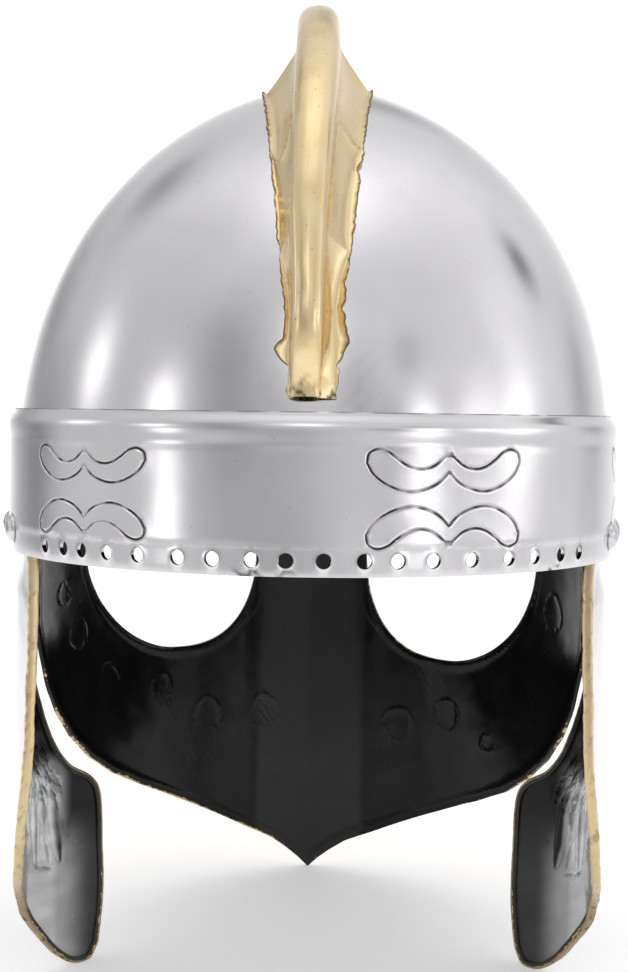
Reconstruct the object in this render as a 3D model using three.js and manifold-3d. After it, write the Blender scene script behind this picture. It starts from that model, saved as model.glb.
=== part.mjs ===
// A masked helmet of riveted sheet metal, in millimetres, +Z up.
// +Y is the way the wearer faces and +X is the wearer's right. Every piece is drawn in the helmet's own
// frame, with z = 0 at the brow band's lower rim, and one group at the end leans the helmet forward until
// it stands on the lower edges of both cheek plates and on the tip of the mask.

import * as THREE from 'three';
import { mergeVertices } from 'three/addons/utils/BufferGeometryUtils.js';
import Module from 'manifold-3d';

const wasm = await Module();
wasm.setup();

// ---------- driving dimensions ----------

const GAP = 0.3;                 // clearance between touching pieces
const SEGMENTS = 48;             // facets round the bowl and the band
const LONGER = 13.5;             // how much more the oval measures from centre to front than to side

const BOWL = { halfWidth: 104.4, springZ: 15, apexZ: 163, lowerEdgeZ: 12, wall: 1.2, rings: 8 };
const BOWL_CROWN_POWER = 2.5;    // how full the dome is near its apex
const BOWL_SIDE_POWER = 1.7;     // how soon its sides turn in
const BOWL_LEAN = 2.2;           // how far its apex stands towards the wearer's right

const BAND_HEIGHT = 48.4;
const BAND_WALL = 1.2;
// Half-widths of the band's outer face from its lower rim up: turned-in rim, flat wall, rounded shoulder.
const BAND_FACE = [
  { z: 0, halfWidth: 105.6 },
  { z: 9.4, halfWidth: 106.7 },
  { z: 37.5, halfWidth: 106.7 },
  { z: 43.9, halfWidth: 107 },
  { z: 46.9, halfWidth: 105.6 },
  { z: BAND_HEIGHT, halfWidth: 104.6 },
];

const MAIL_HOLE = { radius: 2.3, z: 4.8 };
// Drilled by eye: each hole's place round the oval, in degrees from the middle of the back.
const MAIL_HOLE_PLACES = [
  -53, -47, -42, -36, -29.5, -22, -16, -9.5, -4,
  2, 8.5, 14, 20, 27, 34.5, 40.5, 47.5, 53.5,
];

// The comb runs over the dome's middle line; places on it are degrees from the apex, alike to front and back.
const CREST = { wall: 1, endAngle: 80.5, stations: 24, height: 27.5, endHeight: 14, roundedFrom: 0.93 };
// Half-widths of its ridge and of its flanges, each as [degrees from the apex, half-width].
const CREST_RIDGE = [[0, 7.2], [35, 7.1], [58, 5.6], [70, 5], [76, 5.6], [81, 5.2]];
const CREST_FLANGE = [
  [0, 19.6], [21, 18.4], [42, 15], [53, 12.9], [60, 11.3], [67, 9.6], [72, 8.8], [81, 6.4],
];

// The mask and the plates go up inside the bowl, drawn in a little more the higher they reach.
const TUCK = { halfWidth: 102.4, under: 1, fromZ: 6, fullZ: 34 };

const MASK = {
  wall: 1.3, topZ: 34, sideAngle: 83.5,
  skew: 0.037,                   // the mask hangs a little lower on the wearer's right
  keel: 3,                       // how far its middle stands forward
  keelHalfWidth: 28,
};
// Lower edge of the mask, from its middle out: distance from the middle and height.
const MASK_EDGE = [
  [0, -146.5], [4, -142.6], [9, -138.6], [16, -133.8], [28, -128.2], [42, -121.4], [56, -114.6],
  [70, -107.3], [80, -100.6], [87.5, -92.5], [93.5, -82], [97.3, -71], [99.6, -60], [101, -46], [102.6, -22],
];
const EYE = { centre: 56.5, halfWidth: 33, widestZ: -7, drop: 44.7, rise: 8 };

const PLATE = { wall: 1.3, topZ: 22, across: 10, down: 13 };
// Outline of a cheek plate as [y, z]: down the rear edge, along the lower edge and up the front edge.
const PLATE_REAR = [[-47.5, PLATE.topZ], [-47.5, 0], [-47.5, -40], [-46.6, -78], [-44.5, -98]];
const PLATE_FOOT = [
  [-44.5, -98], [-39, -108.5], [-25, -118], [-10, -127], [3, -141], [12, -152.5], [17.5, -157],
  [21.5, -157], [24, -151.5],
];
const PLATE_FRONT = [
  [5.2, PLATE.topZ], [5.2, 0], [4.6, -35], [5.2, -55], [9.5, -73], [15.5, -83.5], [21.4, -88.5],
  [23.8, -93], [25, -115], [25.2, -135], [24, -151.5],
];
// Lower down, a plate's front part bends in towards the wearer's jaw.
const PLATE_BEND = { start: -5, amount: 0.137, power: 1.5, fromZ: -25, fullZ: -72 };
const PLATE_LENGTH = 141;        // half-length of the longer oval that a plate follows near its foot

const EDGING = { wall: 0.9, leg: 3.2, slack: 0.45 };

const RIVET = {
  headRadius: 4.4, headHeight: 2.5, shankRadius: 1.9, tailRadius: 3, tailHeight: 1.2, seatSlack: 0.4,
  sides: 7,
};
const CHEEK_RIVET_Z = 8;
const CHEEK_RIVET_Y = { rear: -38.8, front: -14.6 };
const MASK_RIVET_Z = 24;
const MASK_RIVET_ANGLES = {
  middle: 0, right_inner: 33, right_outer: 66, left_inner: -33, left_outer: -66,
};

const FOOT_TRIM = 0.4;           // how much is filed flat where the helmet touches the ground

// ---------- materials ----------

const metal = (color, roughness) => new THREE.MeshStandardMaterial({ color, metalness: 1, roughness });
const polishedSteel = () => metal(0xb9b9bf, 0.22);
const brass = () => metal(0xc9ab62, 0.28);
const rivetSteel = () => metal(0xa9a9ae, 0.3);

// ---------- small helpers ----------

const radians = THREE.MathUtils.degToRad;
const lerp = THREE.MathUtils.lerp;
const smooth = (value, low, high) => THREE.MathUtils.smoothstep(value, low, high);

// Height or half-width read from a list of [x, value] points by straight lines between them.
function readList(list, x) {
  const found = list.findIndex(([end], i) => i > 0 && x <= end);
  const next = found < 0 ? list.length - 1 : found;
  const [a, b] = [list[next - 1], list[next]];
  return lerp(a[1], b[1], (x - a[0]) / (b[0] - a[0]));
}

// A smooth curve through points of the [y, z] plane, read by its share of the way along.
function curveThrough(points) {
  const places = points.map(([y, z]) => new THREE.Vector3(y, z, 0));
  const curve = new THREE.CatmullRomCurve3(places, false, 'centripetal');
  return (share) => {
    const p = curve.getPointAt(THREE.MathUtils.clamp(share, 0, 1));
    return [p.x, p.y];
  };
}

// A BufferGeometry from plain lists of vertices and faces of three or four corners.
function meshFrom(vertices, faces) {
  const index = [];
  for (const face of faces) {
    index.push(face[0], face[1], face[2]);
    if (face.length === 4) index.push(face[0], face[2], face[3]);
  }
  const geometry = new THREE.BufferGeometry();
  geometry.setAttribute('position', new THREE.Float32BufferAttribute(vertices.flat(), 3));
  geometry.setIndex(index);
  return geometry;
}

// A face turned over, split along the same diagonal as before.
function turned(face) {
  return face.length === 4 ? [face[2], face[1], face[0], face[3]] : [...face].reverse();
}

// Thick sheet: a patch of faces laid out once, given an outer and an inner place for each of its corners,
// and closed along every edge that only one face uses.
function sheet(corners, patch, outerAt, innerAt) {
  const count = corners.length;
  const vertices = [...corners.map(outerAt), ...corners.map(innerAt)];
  const faces = [];
  const edges = new Map();
  for (const face of patch) {
    faces.push(face);
    faces.push(turned(face).map((i) => i + count));
    face.forEach((from, k) => {
      const to = face[(k + 1) % face.length];
      if (edges.has(`${to},${from}`)) edges.delete(`${to},${from}`);
      else edges.set(`${from},${to}`, [from, to]);
    });
  }
  for (const [from, to] of edges.values()) {
    faces.push([to, from, from + count, to + count]);
  }
  return meshFrom(vertices, faces);
}

// A closed ring or loop profile carried along stations: each station is a list of 3-D points.
function loft(stations, closed) {
  const size = stations[0].length;
  const faces = [];
  const last = closed ? stations.length : stations.length - 1;
  for (let i = 0; i < last; i += 1) {
    const next = (i + 1) % stations.length;
    for (let k = 0; k < size; k += 1) {
      const m = (k + 1) % size;
      faces.push([i * size + k, i * size + m, next * size + m, next * size + k]);
    }
  }
  return { vertices: stations.flat(), faces, size };
}

// ---------- joining and cutting ----------

function solidOf(geometry) {
  const bare = geometry.clone();
  bare.deleteAttribute('normal');
  bare.deleteAttribute('uv');
  const merged = mergeVertices(bare, 1e-4);
  return new wasm.Manifold(new wasm.Mesh({
    numProp: 3,
    vertProperties: new Float32Array(merged.attributes.position.array),
    triVerts: new Uint32Array(merged.index.array),
  }));
}

function geometryOf(solid) {
  const mesh = solid.getMesh();
  const geometry = new THREE.BufferGeometry();
  geometry.setAttribute('position', new THREE.Float32BufferAttribute(mesh.vertProperties, 3));
  geometry.setIndex(new THREE.Uint32BufferAttribute(mesh.triVerts, 1));
  return geometry;
}

function cut(geometry, cutters) {
  return geometryOf(cutters.reduce((solid, cutter) => solid.subtract(solidOf(cutter)), solidOf(geometry)));
}

// ---------- the helmet's ovals ----------

// A point on an oval of a given half-width, at an angle from the front towards the wearer's right.
function onOval(halfWidth, angle, z, longer = LONGER) {
  return [halfWidth * Math.sin(angle), (halfWidth + longer) * Math.cos(angle), z];
}

// The way straight out of the oval at that angle.
function ovalNormal(halfWidth, angle) {
  const [across, along] = [Math.sin(angle) / halfWidth, Math.cos(angle) / (halfWidth + LONGER)];
  return new THREE.Vector3(across, along, 0).normalize();
}

// Share of full width and of full height on the dome, at an angle from its apex.
function domePoint(angle) {
  return {
    width: Math.sin(angle) ** (2 / BOWL_SIDE_POWER),
    rise: Math.cos(angle) ** (2 / BOWL_CROWN_POWER),
  };
}

// Half-width of the outer face of what goes up inside the bowl.
function tuckedHalfWidth(z) {
  return TUCK.halfWidth - TUCK.under * smooth(z, TUCK.fromZ, TUCK.fullZ);
}

// How far up the dome a height is, from 0 at the spring line to 1 at the apex.
const domeRise = (z) => Math.max(0, (z - BOWL.springZ) / (BOWL.apexZ - BOWL.springZ));

// Whether a point lies inside the dome's outer face.
function insideDome([x, y, z]) {
  const rise = domeRise(z);
  if (rise >= 1) return false;
  const width = (1 - rise ** BOWL_CROWN_POWER) ** (1 / BOWL_SIDE_POWER);
  const across = (x - BOWL_LEAN * rise) / (BOWL.halfWidth * width);
  const along = y / ((BOWL.halfWidth + LONGER) * width);
  return across ** 2 + along ** 2 < 1;
}

// ---------- bowl ----------

function bowlRing(halfWidth, longer, z) {
  return Array.from({ length: SEGMENTS }, (_, k) => {
    const [x, y] = onOval(halfWidth, (2 * Math.PI * k) / SEGMENTS, z, longer);
    return [x + BOWL_LEAN * domeRise(z), y, z];
  });
}

function bowlGeometry() {
  const rings = { outer: [], inner: [] };
  for (let i = 1; i <= BOWL.rings; i += 1) {
    const { width, rise } = domePoint(Math.PI / 2 * (i / BOWL.rings) ** 0.9);
    const outerZ = BOWL.springZ + (BOWL.apexZ - BOWL.springZ) * rise;
    const innerZ = BOWL.springZ + (BOWL.apexZ - BOWL.wall - BOWL.springZ) * rise;
    rings.outer.push(bowlRing(BOWL.halfWidth * width, LONGER * width, outerZ));
    rings.inner.push(bowlRing((BOWL.halfWidth - BOWL.wall) * width, LONGER * width, innerZ));
  }
  rings.outer.push(bowlRing(BOWL.halfWidth, LONGER, BOWL.lowerEdgeZ));
  rings.inner.push(bowlRing(BOWL.halfWidth - BOWL.wall, LONGER, BOWL.lowerEdgeZ));
  const path = [...rings.outer, ...rings.inner.reverse()];
  const vertices = path.flat();
  const faces = [];
  for (let i = 0; i + 1 < path.length; i += 1) {
    for (let k = 0; k < SEGMENTS; k += 1) {
      const m = (k + 1) % SEGMENTS;
      const [upper, lower] = [i * SEGMENTS, (i + 1) * SEGMENTS];
      faces.push([upper + k, lower + k, lower + m, upper + m].reverse());
    }
  }
  const outerTip = vertices.push([BOWL_LEAN, 0, BOWL.apexZ]) - 1;
  const innerTip = vertices.push([BOWL_LEAN, 0, BOWL.apexZ - BOWL.wall]) - 1;
  const lastRing = (path.length - 1) * SEGMENTS;
  for (let k = 0; k < SEGMENTS; k += 1) {
    const m = (k + 1) % SEGMENTS;
    faces.push([outerTip, m, k]);
    faces.push([innerTip, lastRing + k, lastRing + m]);
  }
  return meshFrom(vertices, faces);
}

// ---------- brow band ----------

function bandGeometry() {
  const profile = [
    ...BAND_FACE,
    ...[...BAND_FACE].reverse().map(({ z, halfWidth }) => ({ z, halfWidth: halfWidth - BAND_WALL })),
  ];
  const stations = Array.from({ length: SEGMENTS }, (_, k) => {
    const angle = (2 * Math.PI * k) / SEGMENTS;
    return profile.map(({ z, halfWidth }) => onOval(halfWidth, angle, z));
  });
  const { vertices, faces } = loft(stations, true);
  return meshFrom(vertices, faces);
}

// A round drift laid straight through the walls at a point of the oval.
function drift(radius, sides, place, direction, length = 14) {
  const geometry = new THREE.CylinderGeometry(radius, radius, length, sides);
  const turn = new THREE.Quaternion().setFromUnitVectors(new THREE.Vector3(0, 1, 0), direction);
  geometry.applyQuaternion(turn);
  geometry.translate(...place);
  return geometry;
}

function mailHoles() {
  return MAIL_HOLE_PLACES.map((degrees) => {
    const angle = Math.PI - radians(degrees);
    const [{ halfWidth }] = BAND_FACE;
    return drift(MAIL_HOLE.radius, 8, onOval(halfWidth, angle, MAIL_HOLE.z), ovalNormal(halfWidth, angle));
  });
}

// ---------- rivets ----------

const RIVET_MIDDLE = 104;        // half-width of the oval through the middle of the riveted layers

// Angle on the band at which its outer face has a given y, on the wearer's right.
const angleAtY = (y) => Math.acos(y / (BAND_FACE[1].halfWidth + LONGER));

const rivets = [];
for (const side of ['left', 'right']) {
  for (const [where, y] of Object.entries(CHEEK_RIVET_Y)) {
    const angle = (side === 'right' ? 1 : -1) * angleAtY(y);
    rivets.push({ name: `cheek_rivet_${side}_${where}`, angle, z: CHEEK_RIVET_Z, layers: ['band', side] });
  }
}
for (const [where, degrees] of Object.entries(MASK_RIVET_ANGLES)) {
  const layers = ['band', 'bowl', 'mask'];
  rivets.push({ name: `mask_rivet_${where}`, angle: radians(degrees), z: MASK_RIVET_Z, layers });
}

// Low domed head outside, shank through the layers, and a flatter peened tail inside.
function rivetGeometry({ angle, z }) {
  const outer = readList(BAND_FACE.map((p) => [p.z, p.halfWidth]), z) + GAP;
  const seat = tuckedHalfWidth(z) - MASK.wall - GAP - RIVET.seatSlack;
  const grip = outer - seat;
  const dome = Array.from({ length: 2 }, (_, k) => {
    const turn = Math.PI / 2 * (k / 2);
    return new THREE.Vector2(RIVET.headRadius * Math.cos(turn), grip + RIVET.headHeight * Math.sin(turn));
  });
  const profile = [
    new THREE.Vector2(0, -RIVET.tailHeight),
    new THREE.Vector2(RIVET.tailRadius * 0.6, -RIVET.tailHeight),
    new THREE.Vector2(RIVET.tailRadius, 0),
    new THREE.Vector2(RIVET.shankRadius, 0),
    new THREE.Vector2(RIVET.shankRadius, grip),
    ...dome,
    new THREE.Vector2(0, grip + RIVET.headHeight),
  ];
  const geometry = new THREE.LatheGeometry(profile, RIVET.sides);
  const direction = ovalNormal(outer, angle);
  geometry.applyQuaternion(new THREE.Quaternion().setFromUnitVectors(new THREE.Vector3(0, 1, 0), direction));
  const place = new THREE.Vector3(...onOval(outer, angle, z)).addScaledVector(direction, -grip);
  geometry.translate(place.x, place.y, place.z);
  return geometry;
}

function rivetHoles(layer) {
  return rivets.filter(({ layers }) => layers.includes(layer)).map(({ angle, z }) => (
    drift(
      RIVET.shankRadius + GAP,
      RIVET.sides,
      onOval(RIVET_MIDDLE, angle, z),
      ovalNormal(RIVET_MIDDLE, angle),
    )
  ));
}

// ---------- crest ----------

// The dome's own line over the middle of the head: place and the way straight out, in the y-z plane.
function meridian(angle) {
  const at = (turn) => {
    const { width, rise } = domePoint(Math.abs(turn));
    return new THREE.Vector3(
      0,
      Math.sign(turn) * (BOWL.halfWidth + LONGER) * width,
      BOWL.springZ + (BOWL.apexZ - BOWL.springZ) * rise,
    );
  };
  const place = at(angle);
  const along = at(angle + 0.02).sub(at(angle - 0.02)).normalize();
  const out = new THREE.Vector3(0, -along.z, along.y);
  return { place, out: out.z < 0 ? out.negate() : out };
}

// How far the dome falls away from its middle line at a distance to the side, measured along the way out.
function domeFall({ place, out }, across) {
  let [low, high] = [-12, 2];
  for (let k = 0; k < 24; k += 1) {
    const up = (low + high) / 2;
    if (insideDome([across, place.y + out.y * up, place.z + out.z * up])) low = up;
    else high = up;
  }
  return low;
}

// Half of one face of the comb, from the flange's edge to the top of its ridge: [across, up].
function crestHalf(height, ridge, flange, fall) {
  const middle = lerp(ridge, flange, 0.35);
  return [
    [flange, fall(flange)],
    [flange - 2, fall(flange - 2) + 0.3],
    [middle, fall(middle) + height * 0.2],
    [ridge, height * 0.46],
    [ridge, height * 0.8],
    [ridge * 0.62, height * 0.965],
    [0, height],
  ];
}

function crestGeometry() {
  const stations = Array.from({ length: CREST.stations + 1 }, (_, i) => {
    const share = (2 * i) / CREST.stations - 1;
    const away = Math.abs(share);
    const degrees = CREST.endAngle * away;
    const line = meridian(radians(CREST.endAngle) * share + 1e-6);
    const rounding = Math.sqrt(1 - smooth(away, CREST.roundedFrom, 1) * 0.9);
    const height = lerp(CREST.height, CREST.endHeight, away ** 2.2) * rounding;
    const ridge = readList(CREST_RIDGE, degrees);
    const flange = readList(CREST_FLANGE, degrees);
    const seat = 2 * GAP;
    const outer = crestHalf(height, ridge, flange, (x) => domeFall(line, x) + seat + CREST.wall);
    const inner = crestHalf(height - CREST.wall, ridge - CREST.wall, flange, (x) => domeFall(line, x) + seat);
    const mirrored = (half) => half.slice(0, -1).map(([x, up]) => [-x, up]);
    const loop = [...outer, ...mirrored(outer).reverse(), ...mirrored(inner), ...[...inner].reverse()];
    return loop.map(([x, up]) => [x, line.place.y + line.out.y * up, line.place.z + line.out.z * up]);
  });
  const { vertices, faces, size } = loft(stations, false);
  const capAt = (first, flip) => {
    for (let k = 0; k + 1 < size / 2; k += 1) {
      const quad = [first + k, first + k + 1, first + size - 2 - k, first + size - 1 - k];
      faces.push(flip ? turned(quad) : quad);
    }
  };
  capAt(0, true);
  capAt(CREST.stations * size, false);
  return meshFrom(vertices, faces.map(turned));
}

// ---------- face mask ----------

function maskPoint(angle, z, depth) {
  const halfWidth = tuckedHalfWidth(z);
  const [x, y] = onOval(halfWidth, angle, 0);
  const keel = MASK.keel * Math.max(0, 1 - Math.abs(x) / MASK.keelHalfWidth) * smooth(-z, -10, 30);
  const normal = ovalNormal(halfWidth, angle);
  return [x - normal.x * depth, y + keel - normal.y * depth, z - MASK.skew * x * smooth(-z, -10, 40)];
}

function eyeEdge(x) {
  const t = Math.min(1, Math.abs(Math.abs(x) - EYE.centre) / EYE.halfWidth);
  const power = Math.abs(x) < EYE.centre ? 2.4 : 2;
  return {
    lower: EYE.widestZ - EYE.drop * (1 - t ** power) ** (1 / power),
    upper: EYE.widestZ + EYE.rise * (1 - t ** 4) ** (1 / 4),
    open: t < 0.999,
  };
}

// Columns stand close together where an eye opening turns up steeply.
function maskColumns() {
  const places = [0, 5, 13];
  for (let k = 0; k <= 10; k += 1) {
    places.push(EYE.centre - EYE.halfWidth * Math.cos((Math.PI * k) / 10));
  }
  const angles = places.map((x) => Math.asin(x / TUCK.halfWidth));
  for (const degrees of [64, 70, 77, MASK.sideAngle]) angles.push(radians(degrees));
  return [...angles.slice(1).reverse().map((a) => -a), ...angles];
}

function maskGeometry() {
  const angles = maskColumns();
  const lowerRows = 4;
  const upperRows = 2;
  const corners = [];
  const columns = angles.map((angle) => {
    const x = Math.abs(TUCK.halfWidth * Math.sin(angle));
    const bottom = readList(MASK_EDGE, x);
    const eye = eyeEdge(x);
    const middleLow = eye.open ? eye.lower : EYE.widestZ;
    const middleHigh = eye.open ? eye.upper : EYE.widestZ;
    const lower = Array.from({ length: lowerRows + 1 }, (_, k) => (
      corners.push([angle, lerp(bottom, middleLow, k / lowerRows)]) - 1));
    const upper = Array.from({ length: upperRows + 1 }, (_, k) => {
      if (k === 0 && !eye.open) return lower[lowerRows];
      return corners.push([angle, lerp(middleHigh, MASK.topZ, k / upperRows)]) - 1;
    });
    return { lower, upper };
  });
  const patch = [];
  for (let i = 0; i + 1 < columns.length; i += 1) {
    for (const part of ['lower', 'upper']) {
      const [a, b] = [columns[i][part], columns[i + 1][part]];
      for (let k = 0; k + 1 < a.length; k += 1) patch.push([a[k], a[k + 1], b[k + 1], b[k]]);
    }
  }
  return sheet(
    corners,
    patch,
    ([angle, z]) => maskPoint(angle, z, 0),
    ([angle, z]) => maskPoint(angle, z, MASK.wall),
  );
}

// ---------- cheek plates ----------

// Where a plate's outer face stands at a given y and z, on the wearer's right.
function plateFace(y, z) {
  const below = smooth(-z, 2, 16);
  const halfWidth = tuckedHalfWidth(z) + lerp(-0.2, 1.8, below) - 1.4 * smooth(-z, 40, 90);
  const halfLength = lerp(TUCK.halfWidth + LONGER, PLATE_LENGTH, smooth(-z, 20, 110));
  const bend = PLATE_BEND.amount * Math.max(0, y - PLATE_BEND.start) ** PLATE_BEND.power;
  const share = smooth(-z, -PLATE_BEND.fromZ, -PLATE_BEND.fullZ);
  return halfWidth * Math.sqrt(1 - (y / halfLength) ** 2) - bend * share;
}

function platePoint(y, z, depth = 0) {
  const step = 0.5;
  const slopeY = (plateFace(y + step, z) - plateFace(y - step, z)) / (2 * step);
  const slopeZ = (plateFace(y, z + step) - plateFace(y, z - step)) / (2 * step);
  const normal = new THREE.Vector3(1, -slopeY, -slopeZ).normalize();
  return new THREE.Vector3(plateFace(y, z), y, z).addScaledVector(normal, -depth);
}

const rearEdge = curveThrough(PLATE_REAR);
const footEdge = curveThrough(PLATE_FOOT);
const frontEdge = curveThrough(PLATE_FRONT);

// A patch spanned by the four edges: straight top, rear edge, foot and front edge.
function plateAt(u, v) {
  const [rear, front, foot] = [rearEdge(v), frontEdge(v), footEdge(u)];
  const corner = { a: rearEdge(0), b: frontEdge(0), c: rearEdge(1), d: frontEdge(1) };
  return [0, 1].map((n) => {
    const top = lerp(corner.a[n], corner.b[n], u);
    const across = lerp(rear[n], front[n], u) + lerp(top, foot[n], v);
    const flat = lerp(lerp(corner.a[n], corner.b[n], u), lerp(corner.c[n], corner.d[n], u), v);
    return across - flat;
  });
}

function plateGeometry(side) {
  const corners = [];
  for (let j = 0; j <= PLATE.down; j += 1) {
    for (let i = 0; i <= PLATE.across; i += 1) corners.push(plateAt(i / PLATE.across, j / PLATE.down));
  }
  const patch = [];
  const wide = PLATE.across + 1;
  for (let j = 0; j < PLATE.down; j += 1) {
    for (let i = 0; i < PLATE.across; i += 1) {
      const quad = [j * wide + i, (j + 1) * wide + i, (j + 1) * wide + i + 1, j * wide + i + 1];
      patch.push(side < 0 ? turned(quad) : quad);
    }
  }
  const place = (depth) => ([y, z]) => {
    const p = platePoint(y, z, depth);
    return [side * p.x, p.y, p.z];
  };
  return sheet(corners, patch, place(0), place(PLATE.wall));
}

// The brass edging is a folded channel that follows the plate's rear edge, foot and front edge.
function edgingGeometry(side) {
  const route = [];
  for (let k = 2; k <= PLATE.down; k += 1) route.push(rearEdge(k / PLATE.down));
  for (let k = 1; k <= PLATE.across; k += 1) route.push(footEdge(k / PLATE.across));
  for (let k = PLATE.down - 1; k >= 1; k -= 1) route.push(frontEdge(k / PLATE.down));
  const { wall, leg, slack } = EDGING;
  const inside = PLATE.wall + slack;
  const profile = [
    [-leg, slack], [slack, slack], [slack, -inside], [-leg, -inside],
    [-leg, -inside - wall], [slack + wall * 0.5, -inside - wall], [slack + wall, -inside * 0.5],
    [slack + wall * 0.5, slack + wall], [-leg, slack + wall],
  ];
  const stations = route.map(([y, z], i) => {
    const before = route[Math.max(0, i - 1)];
    const after = route[Math.min(route.length - 1, i + 1)];
    const here = platePoint(y, z);
    const along = platePoint(...after).sub(platePoint(...before)).normalize();
    const out = platePoint(y, z).sub(platePoint(y, z, 1)).normalize();
    const away = new THREE.Vector3().crossVectors(along, out).normalize();
    return profile.map(([e, n]) => {
      const p = here.clone().addScaledVector(away, e).addScaledVector(out, n);
      return [side * p.x, p.y, p.z];
    });
  });
  const { vertices, faces, size } = loft(stations, false);
  const capAt = (first, flip) => {
    const quads = [[0, 1, 7, 8], [1, 6, 7], [1, 2, 6], [2, 5, 6], [2, 3, 4, 5]];
    for (const quad of quads) {
      const face = quad.map((k) => first + k);
      faces.push(flip ? turned(face) : face);
    }
  };
  capAt(0, true);
  capAt((stations.length - 1) * size, false);
  return meshFrom(vertices, side > 0 ? faces.map(turned) : faces);
}

// ---------- the pieces ----------

const pieces = [];
const addPiece = (name, geometry, material) => pieces.push({ name, geometry, material });

addPiece('bowl', cut(bowlGeometry(), rivetHoles('bowl')), polishedSteel());
addPiece('brow_band', cut(bandGeometry(), [...mailHoles(), ...rivetHoles('band')]), polishedSteel());
addPiece('crest', crestGeometry(), brass());
addPiece('face_mask', cut(maskGeometry(), rivetHoles('mask')), brass());
for (const [name, side] of [['left', -1], ['right', 1]]) {
  addPiece(`cheek_plate_${name}`, cut(plateGeometry(side), rivetHoles(name)), polishedSteel());
  addPiece(`cheek_edging_${name}`, edgingGeometry(side), brass());
}
for (const rivet of rivets) addPiece(rivet.name, rivetGeometry(rivet), rivetSteel());

// ---------- standing on the ground ----------

// Lowest height of a piece when the helmet leans forward by an angle.
function lowest(geometry, lean) {
  const { array } = geometry.attributes.position;
  let least = Infinity;
  for (let i = 0; i < array.length; i += 3) {
    least = Math.min(least, array[i + 2] * Math.cos(lean) - array[i + 1] * Math.sin(lean));
  }
  return least;
}

const find = (name) => pieces.find((piece) => piece.name === name);

// The lean at which the mask's tip comes down level with the feet of the cheek plates.
function restingLean() {
  let [low, high] = [0, radians(20)];
  for (let k = 0; k < 40; k += 1) {
    const middle = (low + high) / 2;
    const tip = lowest(find('face_mask').geometry, middle);
    const foot = lowest(find('cheek_edging_right').geometry, middle);
    if (tip > foot) low = middle;
    else high = middle;
  }
  return (low + high) / 2;
}

const lean = restingLean();
const ground = lowest(find('face_mask').geometry, lean) + FOOT_TRIM;

function groundCutter() {
  const block = new THREE.BoxGeometry(400, 400, 20);
  block.translate(0, 0, ground - 10);
  block.rotateX(lean);
  return block;
}

for (const name of ['face_mask', 'cheek_edging_left', 'cheek_edging_right']) {
  const piece = find(name);
  piece.geometry = cut(piece.geometry, [groundCutter()]);
}

const helmet = new THREE.Group();
for (const { name, geometry, material } of pieces) {
  geometry.computeVertexNormals();
  const mesh = new THREE.Mesh(geometry, material);
  mesh.name = name;
  helmet.add(mesh);
}
helmet.rotation.x = -lean;
helmet.updateMatrixWorld(true);
const box = new THREE.Box3().setFromObject(helmet, true);
helmet.position.set(-(box.min.x + box.max.x) / 2, -(box.min.y + box.max.y) / 2, -ground);

const model = new THREE.Group();
model.add(helmet);

export default model;
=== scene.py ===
# %% [markdown]
# # A masked, crested helmet in riveted sheet metal
#
# The helmet is a smooth polished steel bowl with a brass comb over its middle, an engraved steel band
# round its brow, a mask with two eye openings, and two cheek plates edged in brass. Everything is thin
# sheet that was beaten and riveted by hand, so the lesson is about sheet: how to lay it out, bend it,
# give it a thickness, work its surface and finish its metal.
#
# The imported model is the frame. Each piece below is made around it, in the same place and at the same
# size.

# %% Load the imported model
import math

import bpy
import numpy as np
from mathutils import Matrix, Vector
from mathutils.geometry import delaunay_2d_cdt


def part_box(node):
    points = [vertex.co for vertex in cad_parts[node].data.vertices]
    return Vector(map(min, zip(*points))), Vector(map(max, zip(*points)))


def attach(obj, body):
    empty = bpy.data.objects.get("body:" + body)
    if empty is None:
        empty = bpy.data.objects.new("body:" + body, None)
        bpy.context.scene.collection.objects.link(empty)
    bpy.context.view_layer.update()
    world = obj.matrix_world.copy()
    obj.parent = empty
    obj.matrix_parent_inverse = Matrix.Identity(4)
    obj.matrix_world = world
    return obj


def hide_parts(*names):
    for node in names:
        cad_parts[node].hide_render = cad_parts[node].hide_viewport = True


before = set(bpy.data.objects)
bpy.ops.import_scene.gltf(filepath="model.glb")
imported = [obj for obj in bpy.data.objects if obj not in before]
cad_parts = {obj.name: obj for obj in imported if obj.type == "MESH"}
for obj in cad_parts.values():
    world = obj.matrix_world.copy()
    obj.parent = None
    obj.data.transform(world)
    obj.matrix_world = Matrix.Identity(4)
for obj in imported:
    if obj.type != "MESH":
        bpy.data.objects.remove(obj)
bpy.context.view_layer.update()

# %% [markdown]
# ## The helmet's own frame
#
# A helmet is drawn upright, with its brow band level, but it stands leaning forward on its mask and its
# cheek plates. It could be drawn leaning from the start, and every formula would be harder to read. Here
# each piece is drawn upright in millimetres, and one matrix leans it, sets it on the floor and turns it
# to metres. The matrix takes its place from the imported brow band, whose front corners are easy to work
# out.

# %% From the helmet's own frame to the standing helmet
MM = 0.001
LEAN = math.radians(6.73745)
LONGER = 13.5            # how much more the oval measures from centre to front than to side
RIM_HALF_WIDTH = 105.6   # the band at its lower rim
BEAD_HALF_WIDTH = 107.0  # the band at its widest, near the top
BEAD_Z = 43.9

band_low, band_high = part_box("brow_band")
bead_front = (BEAD_HALF_WIDTH + LONGER) * math.cos(LEAN) + BEAD_Z * math.sin(LEAN)
rim_front = -(RIM_HALF_WIDTH + LONGER) * math.sin(LEAN)
STANDING_AT = Vector((0, band_high[1] - bead_front * MM, band_low[2] - rim_front * MM))
TO_STANDING = Matrix.Translation(STANDING_AT) @ Matrix.Rotation(-LEAN, 4, "X") @ Matrix.Scale(MM, 4)
print("helmet's own origin stands at", [round(v, 4) for v in STANDING_AT])

# %% [markdown]
# ## Camera
#
# The camera stands behind the helmet, a little over half a metre away, at the height of the bowl, and
# looks slightly down. A short distance matters: the mask is a fifth farther off than the band, and looks
# smaller.

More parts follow.
